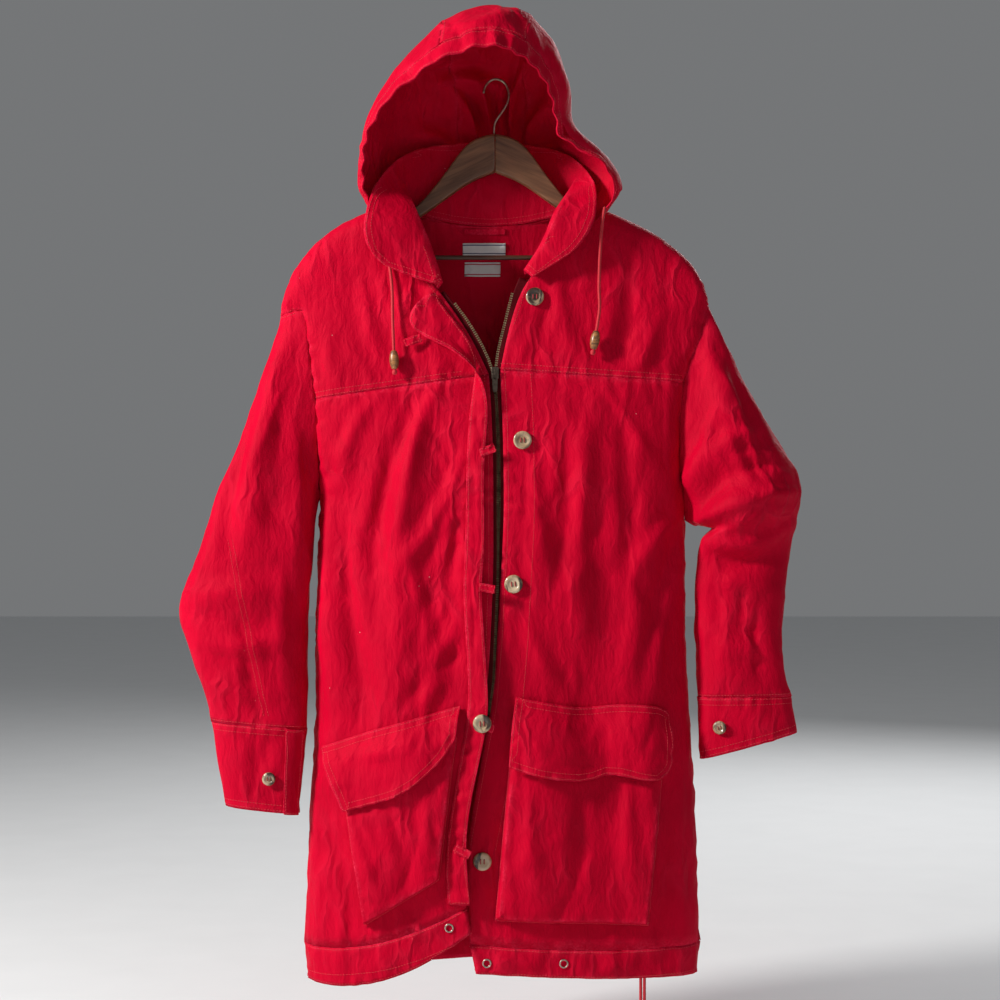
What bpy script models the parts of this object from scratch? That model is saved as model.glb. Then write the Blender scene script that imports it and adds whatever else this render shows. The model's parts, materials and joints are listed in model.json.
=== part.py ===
"""A hooded anorak hanging on a wooden coat hanger.

Metres, +Z up, the coat's front towards -Y, its back towards +Y. The origin is the inside
top of the hanger's hook, where it hangs. "left" is -X and "right" is +X. The tables are in
millimetres and are scaled by MM where they are read. Every cloth piece is a thin wall
through sections that a smooth curve joins.
"""
import math

import bpy
import numpy as np

MM = 0.001

# Driving sizes (mm)
CLOTH = 2.0              # wall of the lined coat cloth
THIN_CLOTH = 1.5         # wall of flaps, pockets and small pieces
SEAM_GAP = 0.3           # between two sewn pieces
ROUND = 2.4              # fullness of the rounded side and shoulder folds
BACK_ROUND = 3.2         # the back hangs flatter
CORD = 3.6               # hood and hem cord
BUTTON_R = 10.3
CUFF_BUTTON_R = 7.5
BUTTON_THICK = 3.2
EYELET_R = 5.6
HANGER_HALF = 6.0        # half the wood's thickness
HOOK_R = 1.6             # hook wire's radius
ZIP_TAPE = 5.0           # tape that shows past a front's edge
GATHERS = 24             # gathers in the hood's drawcord casing

LEFT, RIGHT = "left", "right"


def table(columns, rows):
    """The columns of a hand-written table by name, in metres."""
    values = np.array(rows, float) * MM
    return {name: values[:, i] for i, name in enumerate(columns.split())}


# ---------------------------------------------------------------- fronts and back
# One row for each section from the shoulder seam (0) down to the hem (15). The armhole runs
# from row 0 to row 8, the chest seam is row 5 and the hem band starts at row 14.
# inner = opening edge, outer = shoulder, armhole and side seam, bow = how far the section
# bends away from the straight line between them, front and back = depth of the body.
FRONT_COLUMNS = "inner_x inner_z outer_x outer_z bow_x bow_z front back arm"
FRONT = {
    LEFT: table(FRONT_COLUMNS, [
        (-117, -141, -245, -270, -53, 33, 22, 22, 13),
        (-111, -166, -218, -265, -30, 14, 24, 24, 15),
        (-95, -203, -213, -286, -6, 3, 28, 26, 18),
        (-65, -242, -210, -309, 0, 0, 32, 28, 20),
        (-30, -289, -207, -336, 0, 0, 36, 29, 21),
        (-7, -339, -203, -366, 0, 0, 41, 30, 22),
        (-3, -396, -201, -400, 0, 0, 46, 31, 21),
        (-2, -447, -200, -440, 0, 0, 49, 32, 17),
        (-2, -497, -200, -480, 0, 0, 52, 33, 0.15),
        (-2, -564, -202, -560, 0, 0, 56, 34, 0.15),
        (-5, -636, -206, -640, 0, 0, 59, 35, 0.15),
        (-9, -703, -205, -714, 0, 0, 62, 36, 0.15),
        (-28, -786, -208, -789, 0, 0, 63, 36, 0.15),
        (-46, -864, -214, -880, 0, -6, 62, 36, 0.15),
        (-32, -935, -217, -983, 0, -30, 60, 36, 0.15),
        (-27, -963, -213, -1023, 0, -46, 60, 36, 0.15),
    ]),
    RIGHT: table(FRONT_COLUMNS, [
        (106, -141, 243, -257, 67, 9, 22, 22, 13),
        (98, -166, 235, -280, 30, 4, 24, 24, 15),
        (80, -196, 230, -297, 8, 1, 28, 26, 18),
        (35, -226, 224, -311, 0, 0, 32, 28, 20),
        (17, -280, 218, -328, 0, 0, 36, 29, 21),
        (6, -334, 213, -347, 0, 0, 41, 30, 22),
        (9, -396, 208, -394, 0, 0, 45, 31, 21),
        (10, -446, 209, -446, 0, 0, 47, 32, 17),
        (10, -502, 217, -503, 0, 0, 49, 33, 0.15),
        (7, -564, 217, -583, 0, 0, 51, 34, 0.15),
        (3, -637, 218, -652, 0, 0, 52, 35, 0.15),
        (-3, -709, 222, -720, 0, 0, 52, 36, 0.15),
        (-18, -788, 226, -789, 0, 0, 52, 36, 0.15),
        (-33, -872, 230, -880, 0, 0, 52, 36, 0.15),
        (-28, -977, 233, -983, -6, -10, 52, 36, 0.15),
        (-21, -1010, 231, -1018, -8, -4, 52, 36, 0.15),
    ]),
}
BACK_CENTRE_X = -5 * MM
BACK_CENTRE_Z = np.array([-165, -178, -200, -238, -285, -340, -394, -443, -495,
                          -570, -644, -710, -786, -872, -968, -1008]) * MM
NECK_SHARE = 0.45        # share of the back's half width that the neck takes
CHEST_ROW, UNDERARM_ROW, HEM_ROW, LAST_ROW = 5.0, 8.0, 14.0, 15.0
SHOULDER_ROUND_ROWS = 0.9

YOKE_ROWS = (0, 0.1, 0.3, 0.6, 1, 1.5, 2, 3, 4, 5)
BODY_ROWS = (5, 6, 7, 7.5, 7.85, 8, 8.5, 9, 10, 11, 12, 13, 14)
HEM_ROWS = (14, 15)
ARM_ROWS = YOKE_ROWS + BODY_ROWS[1:6]
FRONT_STRIPS = 10
NECK_STRIPS = 5

# Largest drapes of the fronts: where each starts and ends, its half width and how far it
# stands out (a hollow is negative).
DRAPE_COLUMNS = "top_x top_z low_x low_z half_width out"
DRAPES = {
    LEFT: table(DRAPE_COLUMNS, [
        (-95, -420, -112, -900, 34, 9),
        (-150, -380, -168, -880, 26, -6),
        (-62, -500, -70, -760, 26, -8),
        (-40, -400, -36, -720, 18, 4),
        (-178, -560, -185, -960, 20, 6),
    ]),
    RIGHT: table(DRAPE_COLUMNS, [
        (60, -420, 52, -980, 30, 7),
        (110, -470, 122, -990, 34, -11),
        (160, -440, 172, -960, 26, 8),
        (196, -560, 205, -980, 18, -6),
    ]),
}
BACK_DRAPES = table(DRAPE_COLUMNS, [
    (-140, -330, -150, -990, 34, 5),
    (-70, -360, -62, -990, 36, -6),
    (10, -300, 4, -990, 34, 5),
    (80, -360, 92, -990, 36, -6),
    (150, -330, 165, -990, 34, 5),
])

# ---------------------------------------------------------------- sleeves and cuffs
# One row for each section from the armhole to the cuff seam. outer = outer fold, inner =
# underarm fold, half = half the flattened tube's depth, mid_y = where its middle lies,
# tuck = how far the front layer sags out and down where the sleeve hangs in a bag.
SLEEVE_COLUMNS = "outer_x outer_z inner_x inner_z half mid_y tuck_y tuck_z"
SLEEVE = {
    LEFT: table(SLEEVE_COLUMNS, [
        (-245, -270, -200, -480, 20, 0, 0, 0),
        (-263, -330, -204, -502, 26, -3, 0, 0),
        (-282, -389, -206, -530, 29, -6, 0, 0),
        (-309, -465, -208, -560, 31, -9, 0, 0),
        (-338, -539, -210, -592, 31, -11, -2, 0),
        (-359, -596, -211, -625, 31, -12, -3, 0),
        (-350, -639, -211, -663, 30, -13, -2, 0),
        (-334, -686, -211, -705, 27, -14, 0, 0),
        (-322, -730, -213, -739, 24, -15, 0, 0),
    ]),
    RIGHT: table(SLEEVE_COLUMNS, [
        (243, -257, 217, -503, 20, 0, 0, 0),
        (258, -293, 224, -508, 26, -5, -2, -3),
        (279, -339, 232, -511, 30, -9, -6, -5),
        (301, -381, 240, -512, 33, -11, -12, -9),
        (326, -421, 246, -513, 35, -11, -19, -10),
        (345, -455, 243, -516, 35, -9, -22, -10),
        (348, -482, 232, -523, 32, -6, -14, -8),
        (342, -512, 226, -540, 27, -3, -5, -4),
        (333, -560, 225, -575, 24, -1, -2, 0),
        (325, -615, 226, -620, 25, -2, -3, 0),
        (331, -664, 228, -664, 25, -4, -2, 0),
        (338, -702, 230, -704, 23, -6, 0, 0),
    ]),
}
CUFF_COLUMNS = "outer_x outer_z inner_x inner_z half mid_y"
CUFF = {
    LEFT: table(CUFF_COLUMNS, [
        (-322, -730.5, -213, -739.5, 24, -15),
        (-317, -762, -216, -772, 24, -16),
        (-311, -794, -219, -803, 23, -17),
        (-305, -825, -221, -834, 22, -18),
    ]),
    RIGHT: table(CUFF_COLUMNS, [
        (338, -702.5, 230, -704.5, 23, -6),
        (342, -716, 231, -729, 23, -7),
        (344, -729, 232, -752, 22, -8),
        (344, -743, 233, -774, 21, -9),
    ]),
}
SLEEVE_RINGS = {LEFT: 13, RIGHT: 18}

# ---------------------------------------------------------------- collar
# One row for each station from the front end (0), past the shoulder's neck point (3), to the
# centre back (5): the roll line and the free edge.
COLLAR_COLUMNS = "roll_x roll_y roll_z edge_x edge_y edge_z"
COLLAR = {
    LEFT: table(COLLAR_COLUMNS, [
        (-60, -39, -234, -69, -42, -238),
        (-71, -42, -196, -124, -46, -219),
        (-88, -44, -158, -147, -54, -183),
        (-103, -8, -116, -133, -36, -122),
        (-78, 13, -110, -92, 15, -77),
        (-5, 20, -114, -5, 27, -67),
    ]),
    RIGHT: table(COLLAR_COLUMNS, [
        (34, -38, -222, 42, -41, -230),
        (51, -44, -192, 84, -45, -205),
        (62, -44, -156, 110, -50, -172),
        (88, 0, -112, 112, -22, -120),
        (60, 15, -107, 76, 17, -79),
        (-5, 20, -114, -5, 27, -67),
    ]),
}
COLLAR_STRIPS = 5

# ---------------------------------------------------------------- hood
# One row for each arch from the opening's edge (0) back over the crown and down to the neck
# seam (9). cheek = where the arch springs on each side, top = its crown, swell = where the
# cloth swells over the shoulder below the cheek, foot = its station on the collar's seam.
HOOD_COLUMNS = ("left_x left_z top_x top_z right_x right_z cheek_y top_y "
                "left_swell_x left_swell_z right_swell_x right_swell_z foot")
HOOD = table(HOOD_COLUMNS, [
    (-146, -95, -5, 12, 70, -75, -64, -128, -160, -146, 184, -122, 1350),
    (-151, -97, -3, 34, 76, -72, -58, -112, -164, -147, 192, -125, 1700),
    (-153, -98, 0, 62, 83, -66, -50, -84, -165, -144, 194, -125, 1950),
    (-152, -98, 0, 76, 87, -62, -36, -48, -163, -136, 186, -121, 2250),
    (-145, -96, -2, 72, 87, -62, -18, -8, -154, -128, 166, -115, 2550),
    (-132, -96, -4, 48, 84, -68, 6, 24, -138, -122, 134, -112, 2850),
    (-117, -102, -5, 0, 79, -80, 24, 40, -124, -124, 110, -112, 3130),
    (-98, -120, -5, -62, 72, -100, 36, 46, -106, -136, 90, -124, 3400),
    (-72, -142, -5, -118, 56, -130, 38, 43, -84, -149, 68, -146, 3650),
    (-36, -163, -5, -166, 26, -163, 24.4, 24.4, -52, -160, 42, -160, 3900),
])
HOOD_SEAM_ROW, HOOD_LAST_ROW = 1.0, 9.0
SIDE_STRIPS, ARCH_STRIPS = 5, 7
HOOD_STRIPS = 2 * (SIDE_STRIPS + ARCH_STRIPS)
CENTRE_STRIP = (10, 14)
LEFT_ARCH_POWER, RIGHT_ARCH_POWER = 1.14, 0.92
CASING_WAVE = 2.2        # height of a gather
RIM_FORWARD = 25.0       # how far the rim's lower ends stand forward

# ---------------------------------------------------------------- pieces on the fronts
# Storm flap: sewn line, free edge and how far the free edge stands off the front.
FLAP_COLUMNS = "z sewn_x free_x free_z free_out"
STORM_FLAP = table(FLAP_COLUMNS, [
    (-247, -69, -77, -250, 4.5),
    (-262, -58, -92, -264, 5),
    (-282, -43, -96, -280, 6),
    (-300, -30, -84, -295, 7),
    (-316, -23, -56, -308, 11),
    (-332, -22, -32, -326, 15),
    (-350, -24, -15, -346, 14),
    (-380, -28, -8, -378, 8),
    (-420, -31, -11, -420, 5),
    (-460, -32, -13, -460, 5),
    (-536, -33, -12, -536, 5),
    (-580, -35, -16, -580, 5),
    (-618, -33, -13, -618, 5),
    (-665, -30, -10, -665, 6),
    (-711, -29, -7, -711, 8),
    (-741, -34, -11, -741, 9),
    (-805, -45, -25, -805, 9),
    (-859, -53, -33, -859, 9),
    (-903, -55, -30, -903, 9),
    (-930, -52, -28, -930, 8),
])
# Button tabs: x and z of the root, length, the way it points (degrees) and its lift.
BUTTON_TABS = [(-83.1, -298.1, 19, 200, 6.8), (-17, -428, 18, 20, 7), (-18, -577, 18, -10, 7),
               (-18, -728, 18, -20, 9.4), (-44, -866, 18, -25, 9.5)]
# Buttons: the front that each lies on, its place and how far off the front it sits.
BUTTONS = [(RIGHT, 45, -251, 1.0), (RIGHT, 31, -413, 1.0), (RIGHT, 21, -574, 1.0),
           (LEFT, -14, -728, 11.4), (RIGHT, -14, -884, 1.0)]

# Pockets: corners in the front view, and how deep the bellows stand.
POCKET_DEPTH = 11.0
POCKETS = {
    LEFT: ((-176, -766), (-42, -742), (-62, -903), (-146, -956)),
    RIGHT: ((18, -752), (189, -768), (172, -958), (0, -950)),
}
POCKET_FLAP_COLUMNS = "top_x top_z low_x low_z"
POCKET_FLAPS = {
    LEFT: table(POCKET_FLAP_COLUMNS, [
        (-193, -758, -167, -828), (-150, -742, -135, -819), (-99, -726, -99, -803),
        (-62, -716, -60, -768), (-38, -709, -42, -744),
    ]),
    RIGHT: table(POCKET_FLAP_COLUMNS, [
        (24, -700, 17, -777), (60, -707, 55, -789), (97, -713, 95, -794),
        (140, -709, 135, -786), (180, -712, 176, -795), (194, -721, 190, -777),
    ]),
}

# ---------------------------------------------------------------- hanger
# Half of the hanger, from its middle to the tip.
HANGER = table("x top_z low_z", [
    (0.2, -62, -106), (20, -65, -113), (36, -76, -122), (55, -104, -136), (76, -131, -151),
    (95, -150, -164), (120, -160, -173), (150, -174, -185), (176, -186, -196),
    (185, -190, -199), (186, -191, -211), (205, -202, -213), (212, -207, -212),
])
BAR_Z, BAR_HALF, BAR_R = -203.0, 185.0, 3.0
HOOK_ROUTE = [(-1, -61.5), (-0.5, -50), (4, -42), (10, -34), (15, -24), (16, -14),
              (12, -4), (6, 0.4), (0, 1.6), (-7, -1.5), (-12, -9), (-13, -15)]

# ---------------------------------------------------------------- cords (x, y, z of each route)
HOOD_CORD_ROUTES = {
    LEFT: [(-132, -26, -178), (-126, -28, -190), (-120, -31, -210), (-116, -36, -240),
           (-115, -40, -275), (-113.5, -43, -312)],
    RIGHT: [(123.5, -38.3, -151), (122, -41.5, -159), (120, -43.5, -174), (118, -42, -205),
            (117, -41, -240), (117.5, -42, -265), (114, -43, -290)],
}

HEM_CORD_X, HEM_CORD_Y, HEM_CORD_Z = (164.0, 168.2), -37.4, (-1017.8, -1072.8)
EYELETS = [(RIGHT, -9, -998), (RIGHT, 77, -999), (LEFT, -51, -957)]
# Loop and labels inside the back neck: x from, x to, top z and low z.
INSIDE_PLATES = {"hanging_loop": (-36, 12, -168, -174), "label_upper": (-37, 12, -184, -198),
                 "label_lower": (-35, 6, -206, -222)}


def rise(share, power=ROUND):
    """A rounded step from 0 to 1 that leaves 0 at a right angle."""
    inside = 1.0 - np.clip(share, 0.0, 1.0)
    return (1.0 - inside ** power) ** (1.0 / power)


def ease(share):
    share = np.clip(share, 0.0, 1.0)
    return share * share * (3.0 - 2.0 * share)


def follow(values, at):
    """A smooth curve through equally spaced values, read at row numbers."""
    values = np.asarray(values, float)
    at = np.asarray(at, float)
    last = len(values) - 1
    low = np.clip(np.floor(at).astype(int), 0, last - 1)
    part = at - low
    before = values[np.maximum(low - 1, 0)]
    start = values[low]
    end = values[low + 1]
    after = values[np.minimum(low + 2, last)]
    slope_in = (end - before) / 2.0
    slope_out = (after - start) / 2.0
    square, cube = part ** 2, part ** 3
    return ((2 * cube - 3 * square + 1) * start + (cube - 2 * square + part) * slope_in
            + (3 * square - 2 * cube) * end + (cube - square) * slope_out)


def stack(x, y, z):
    return np.stack(np.broadcast_arrays(x, y, z), axis=-1)


def drape(drapes, x, z):
    """How far the drapes stand out at a place of the front view."""
    out = np.zeros(np.broadcast(x, z).shape)
    for i in range(len(drapes["out"])):
        top, low = drapes["top_z"][i], drapes["low_z"][i]
        share = np.clip((z - top) / (low - top), 0.0, 1.0)
        middle = drapes["top_x"][i] + (drapes["low_x"][i] - drapes["top_x"][i]) * share
        across = (x - middle) / drapes["half_width"][i]
        fade = np.sin(np.pi * np.clip((z - top) / (low - top), 0, 1)) ** 0.6
        out += drapes["out"][i] * np.exp(-across ** 2) * fade
    return out


def front_point(side, across, down):
    """The outer face of a front: across 0 at the opening, 1 at the side; down = row."""
    rows = FRONT[side]
    across = np.asarray(across, float)
    down = np.asarray(down, float)
    inner_x, inner_z = follow(rows["inner_x"], down), follow(rows["inner_z"], down)
    outer_x, outer_z = follow(rows["outer_x"], down), follow(rows["outer_z"], down)
    bend = 2.0 * across * (1.0 - across)
    x = inner_x + (outer_x - inner_x) * across + bend * follow(rows["bow_x"], down)
    z = inner_z + (outer_z - inner_z) * across + bend * follow(rows["bow_z"], down)
    arm = follow(rows["arm"], down)
    body = follow(rows["front"], down)
    side_round = rise(1.0 - np.abs(across))
    depth = (arm + (body - arm) * side_round) * rise(down / SHOULDER_ROUND_ROWS)
    depth = depth + drape(DRAPES[side], x, z) * side_round * ease((down - 3.0) / 2.0)
    seam = SEAM_GAP / 2 * MM
    return stack(x, -np.maximum(depth, seam), z)


def back_point(side, across, down):
    """The outer face of the back: across 0 at the centre back, 1 at the side."""
    rows = FRONT[side]
    across = np.asarray(across, float)
    down = np.asarray(down, float)
    outer_x, outer_z = follow(rows["outer_x"], down), follow(rows["outer_z"], down)
    centre_z = follow(BACK_CENTRE_Z, down)
    settle = ease(down / CHEST_ROW)
    straight_x = BACK_CENTRE_X + (outer_x - BACK_CENTRE_X) * NECK_SHARE
    straight_z = centre_z + (outer_z - centre_z) * NECK_SHARE
    drop = centre_z - BACK_CENTRE_Z[0]
    neck_x = rows["inner_x"][0] + (straight_x - rows["inner_x"][0]) * settle
    neck_z = (rows["inner_z"][0] + drop) * (1 - settle) + straight_z * settle
    share = np.clip(across / NECK_SHARE, 0.0, 1.0)
    past = np.clip((across - NECK_SHARE) / (1.0 - NECK_SHARE), 0.0, 1.0)
    bend = 2.0 * past * (1.0 - past)
    shoulder_bow = 1.0 - ease(down / 2.5)
    x = BACK_CENTRE_X + (neck_x - BACK_CENTRE_X) * share + (outer_x - neck_x) * past
    x = x + bend * rows["bow_x"][0] * shoulder_bow
    rising = share ** (2.0 - settle)
    z = centre_z + (neck_z - centre_z) * rising + (outer_z - neck_z) * past
    z = z + bend * rows["bow_z"][0] * shoulder_bow
    arm = follow(rows["arm"], down)
    body = follow(rows["back"], down)
    side_round = rise(1.0 - across, BACK_ROUND)
    top_round = rise(down / SHOULDER_ROUND_ROWS)
    neck_round = np.sqrt(np.clip(1.0 - share ** 2, 0.0, 1.0))
    depth = arm + (body - arm) * side_round
    depth = depth * (top_round + (1.0 - top_round) * neck_round)
    depth = depth + drape(BACK_DRAPES, x, z) * side_round * ease((down - 3.0) / 2.0)
    seam = SEAM_GAP / 2 * MM
    return stack(x, np.maximum(depth, seam), z)


def lifted(surface, side, across, down, lift):
    """A point of a panel moved out from its face by lift."""
    across = np.asarray(across, float)
    down = np.asarray(down, float)
    step_a, step_d = 0.004, 0.02
    a_low, a_high = np.clip(across - step_a, -0.5, 1.0), np.clip(across + step_a, -0.5, 1.0)
    d_low, d_high = np.clip(down - step_d, 0.0, 15.0), np.clip(down + step_d, 0.0, 15.0)
    along = surface(side, a_high, down) - surface(side, a_low, down)
    fall = surface(side, across, d_high) - surface(side, across, d_low)
    normal = np.cross(along, fall)
    normal /= np.linalg.norm(normal, axis=-1, keepdims=True)
    normal *= np.where(normal[..., 1:2] * (1 if surface is back_point else -1) < 0, -1, 1)
    return surface(side, across, down) + normal * np.asarray(lift)[..., None]


def find_on_front(side, x, z):
    """The across and down of a place given in the front view."""
    x, z = np.broadcast_arrays(np.asarray(x, float), np.asarray(z, float))
    across = np.full(x.shape, 0.4)
    down = np.interp(-z, -FRONT[side]["inner_z"], np.arange(16.0))
    for _ in range(25):
        here = front_point(side, across, down)
        right = (front_point(side, across + 1e-3, down) - here) / 1e-3
        below = (front_point(side, across, down + 1e-3) - here) / 1e-3
        miss_x, miss_z = x - here[..., 0], z - here[..., 2]
        area = right[..., 0] * below[..., 2] - right[..., 2] * below[..., 0]
        step_across = (miss_x * below[..., 2] - miss_z * below[..., 0]) / area
        step_down = (right[..., 0] * miss_z - right[..., 2] * miss_x) / area
        across = np.clip(across + np.clip(step_across, -0.2, 0.2), -0.4, 0.999)
        down = np.clip(down + np.clip(step_down, -1.0, 1.0), 0.3, 14.99)
    return across, down


def on_front(side, x, z, lift):
    """A point on a front at a place of the front view, moved out by lift."""
    across, down = find_on_front(side, x, z)
    return lifted(front_point, side, across, down, lift)


# ---------------------------------------------------------------- making solids
def make_material(name, colour, roughness, metallic=0.0):
    made = bpy.data.materials.new(name)
    made.use_nodes = True
    shader = made.node_tree.nodes["Principled BSDF"]
    shader.inputs["Base Color"].default_value = (*colour, 1.0)
    shader.inputs["Roughness"].default_value = roughness
    shader.inputs["Metallic"].default_value = metallic
    made.diffuse_color = (*colour, 1.0)
    return made


def make_object(name, points, faces, finish, flat=False):
    mesh = bpy.data.meshes.new(name)
    mesh.from_pydata([tuple(p) for p in points], [], faces)
    mesh.validate()
    mesh.materials.append(make_material(name, *finish))
    if not flat:
        mesh.shade_smooth()
        mesh.set_sharp_from_angle(angle=math.radians(50))
    made = bpy.data.objects.new(name, mesh)
    bpy.context.scene.collection.objects.link(made)
    return made


def grid_normals(grid, ring):
    """Unit normals of a grid of points, rows by columns."""
    along = np.gradient(grid, axis=1)
    if ring:
        along = (np.roll(grid, -1, axis=1) - np.roll(grid, 1, axis=1)) / 2.0
    down = np.gradient(grid, axis=0)
    normal = np.cross(along, down)
    length = np.linalg.norm(normal, axis=-1, keepdims=True)
    return normal / np.maximum(length, 1e-12)


def make_wall(name, grid, thickness, finish, inward, ring=False, upright=(), normal=None):
    """A closed cloth wall. grid holds the outer face, rows by columns; the wall grows from
    it by thickness on the side that inward names. upright lists the edges, as slices of the
    grid, whose wall stands square to the depth direction."""
    if normal is None:
        normal = grid_normals(grid, ring)
    if np.sum(normal * inward(grid)) > 0:
        normal = -normal
    for edge in upright:
        normal[edge][..., 1] = 0.0
        normal[edge] /= np.linalg.norm(normal[edge], axis=-1, keepdims=True)
    inner = grid - normal * thickness * MM
    rows, columns = grid.shape[:2]
    points = np.concatenate([grid.reshape(-1, 3), inner.reshape(-1, 3)])
    half = rows * columns

    def at(row, column, layer=0):
        return layer * half + row * columns + column % columns

    faces = []
    spans = columns if ring else columns - 1
    for row in range(rows - 1):
        for column in range(spans):
            a, b = at(row, column), at(row, column + 1)
            c, d = at(row + 1, column + 1), at(row + 1, column)
            faces += [(a, b, c), (a, c, d)]
            faces += [(c + half, b + half, a + half), (d + half, c + half, a + half)]
    for column in range(spans):
        faces.append((at(0, column + 1), at(0, column), at(0, column, 1), at(0, column + 1, 1)))
        faces.append((at(rows - 1, column), at(rows - 1, column + 1),
                      at(rows - 1, column + 1, 1), at(rows - 1, column, 1)))
    if not ring:
        for row in range(rows - 1):
            faces.append((at(row, 0), at(row + 1, 0), at(row + 1, 0, 1), at(row, 0, 1)))
            faces.append((at(row + 1, columns - 1), at(row, columns - 1),
                          at(row, columns - 1, 1), at(row + 1, columns - 1, 1)))
    if np.sum(grid_normals(grid, ring) * normal) < 0:
        faces = [face[::-1] for face in faces]
    return make_object(name, points, faces, finish)


def towards(x, y, z):
    """A direction for the wall to grow in, the same all over."""
    return lambda grid: np.broadcast_to(np.array([x, y, z], float), grid.shape)


def towards_axis(grid):
    """Into a tube, towards the middle of each ring."""
    return grid.mean(axis=1, keepdims=True) - grid


def make_tube(name, points, radius, finish, resolution=2):
    """A cord, wire or rod: a round tube with filled caps through the points."""
    curve = bpy.data.curves.new(name, "CURVE")
    curve.dimensions = "3D"
    curve.bevel_depth = radius
    curve.bevel_resolution = resolution
    curve.use_fill_caps = True
    spline = curve.splines.new("POLY")
    spline.points.add(len(points) - 1)
    for knot, point in zip(spline.points, points):
        knot.co = (*point, 1.0)
    curve.materials.append(make_material(name, *finish))
    made = bpy.data.objects.new(name, curve)
    bpy.context.scene.collection.objects.link(made)
    return made


def smooth_route(route, spacing):
    """Points a set distance apart on a smooth curve through the route's points."""
    route = np.array(route, float)
    dense = np.stack([follow(route[:, i], np.linspace(0, len(route) - 1, 400))
                      for i in range(3)], axis=1)
    length = np.concatenate([[0], np.cumsum(np.linalg.norm(np.diff(dense, axis=0), axis=1))])
    count = max(int(round(length[-1] / spacing)), 2)
    at = np.linspace(0, length[-1], count + 1)
    return np.stack([np.interp(at, length, dense[:, i]) for i in range(3)], axis=1)


def turned(name, profile, centre, axis, finish, sides=16):
    """A solid turned about axis through centre; profile is (radius, height) from the lower
    end to the upper, in mm, closed on the axis or back on itself."""
    axis = np.array(axis, float) / np.linalg.norm(axis)
    aside = np.cross(axis, (0.3, 0.2, 1.0) if abs(axis[2]) < 0.9 else (1.0, 0.0, 0.0))
    aside /= np.linalg.norm(aside)
    other = np.cross(axis, aside)
    points, faces = [], []
    closed_on_axis = profile[0][0] == 0
    rings = profile[1:-1] if closed_on_axis else profile
    for radius, height in rings:
        for i in range(sides):
            turn = 2 * math.pi * i / sides
            points.append(centre + axis * height * MM
                          + (aside * math.cos(turn) + other * math.sin(turn)) * radius * MM)
    count = len(rings)
    last = count - 1 if closed_on_axis else count
    for ring in range(last):
        for i in range(sides):
            a, b = ring * sides + i, ring * sides + (i + 1) % sides
            c = ((ring + 1) % count) * sides + (i + 1) % sides
            d = ((ring + 1) % count) * sides + i
            faces.append((a, b, c, d))
    if closed_on_axis:
        low, high = len(points), len(points) + 1
        points.append(centre + axis * profile[0][1] * MM)
        points.append(centre + axis * profile[-1][1] * MM)
        for i in range(sides):
            faces.append((low, (i + 1) % sides, i))
            top = (count - 1) * sides
            faces.append((high, top + i, top + (i + 1) % sides))
    return make_object(name, points, faces, finish)


# ---------------------------------------------------------------- finishes
RED = ((0.62, 0.006, 0.02), 0.72)
RED_SHADE = ((0.40, 0.004, 0.012), 0.75)
WOOD = ((0.13, 0.06, 0.025), 0.45)
DARK_WOOD = ((0.05, 0.025, 0.015), 0.5)
STEEL = ((0.30, 0.28, 0.25), 0.35, 1.0)
GUNMETAL = ((0.06, 0.055, 0.05), 0.35, 1.0)
HORN = ((0.36, 0.22, 0.11), 0.3)
TOGGLE_WOOD = ((0.42, 0.18, 0.06), 0.4)
CORD_RED = ((0.65, 0.03, 0.02), 0.8)
LABEL_WHITE = ((0.75, 0.76, 0.78), 0.7)


# ---------------------------------------------------------------- body
def front_grid(side, rows, across):
    across, rows = np.meshgrid(across, rows)
    return front_point(side, across, rows)


def with_seams(rows, start=0.0, end=0.0):
    """Row numbers drawn in by a seam's gap at either end."""
    rows = np.array(rows, float)
    rows[0] += start
    rows[-1] -= end
    return rows


def make_body():
    across = np.sin(np.linspace(0, math.pi / 2, FRONT_STRIPS + 1))
    chest, hem = 0.005, 0.006
    into = towards(0, 1, 0)
    side_edge = (slice(None), -1)
    for side in (LEFT, RIGHT):
        yoke = front_grid(side, with_seams(YOKE_ROWS, end=chest), across)
        make_wall(f"front_yoke_{side}", yoke, CLOTH, RED, into, upright=[(0,), side_edge])
        front = front_grid(side, with_seams(BODY_ROWS, chest, hem), across)
        make_wall(f"front_{side}", front, CLOTH, RED, into, upright=[side_edge])
        band = front_grid(side, with_seams(HEM_ROWS, hem), across)
        make_wall(f"hem_{side}", band, CLOTH, RED, into, upright=[side_edge])
    neck = np.linspace(0, NECK_SHARE, NECK_STRIPS + 1)
    half = np.concatenate([neck[:-1], NECK_SHARE + (1 - NECK_SHARE) * across])

    def back_grid(rows):
        across_grid, row_grid = np.meshgrid(half, rows)
        left = back_point(LEFT, across_grid, row_grid)
        right = back_point(RIGHT, across_grid, row_grid)
        return np.concatenate([left[:, :0:-1], right], axis=1)

    into = towards(0, -1, 0)
    edges = [(slice(None), 0), (slice(None), -1)]
    shoulder = FRONT_STRIPS + 1
    top_edges = [(0, slice(0, shoulder)), (0, slice(-shoulder, None))]
    back = back_grid(with_seams(YOKE_ROWS + BODY_ROWS[1:], end=hem))
    make_wall("back", back, CLOTH, RED, into, upright=edges + top_edges)
    make_wall("hem_back", back_grid(with_seams(HEM_ROWS, hem)), CLOTH, RED, into, upright=edges)


# ---------------------------------------------------------------- sleeves
ARM_FINE = np.linspace(0.0, UNDERARM_ROW, 161)


def arm_share(side, rows):
    """How far along the armhole, from its top to the underarm, each row lies."""
    edge = front_point(side, 1.0, ARM_FINE)[:, [0, 2]]
    length = np.concatenate([[0], np.cumsum(np.linalg.norm(np.diff(edge, axis=0), axis=1))])
    return np.interp(rows, ARM_FINE, length / length[-1])


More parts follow.
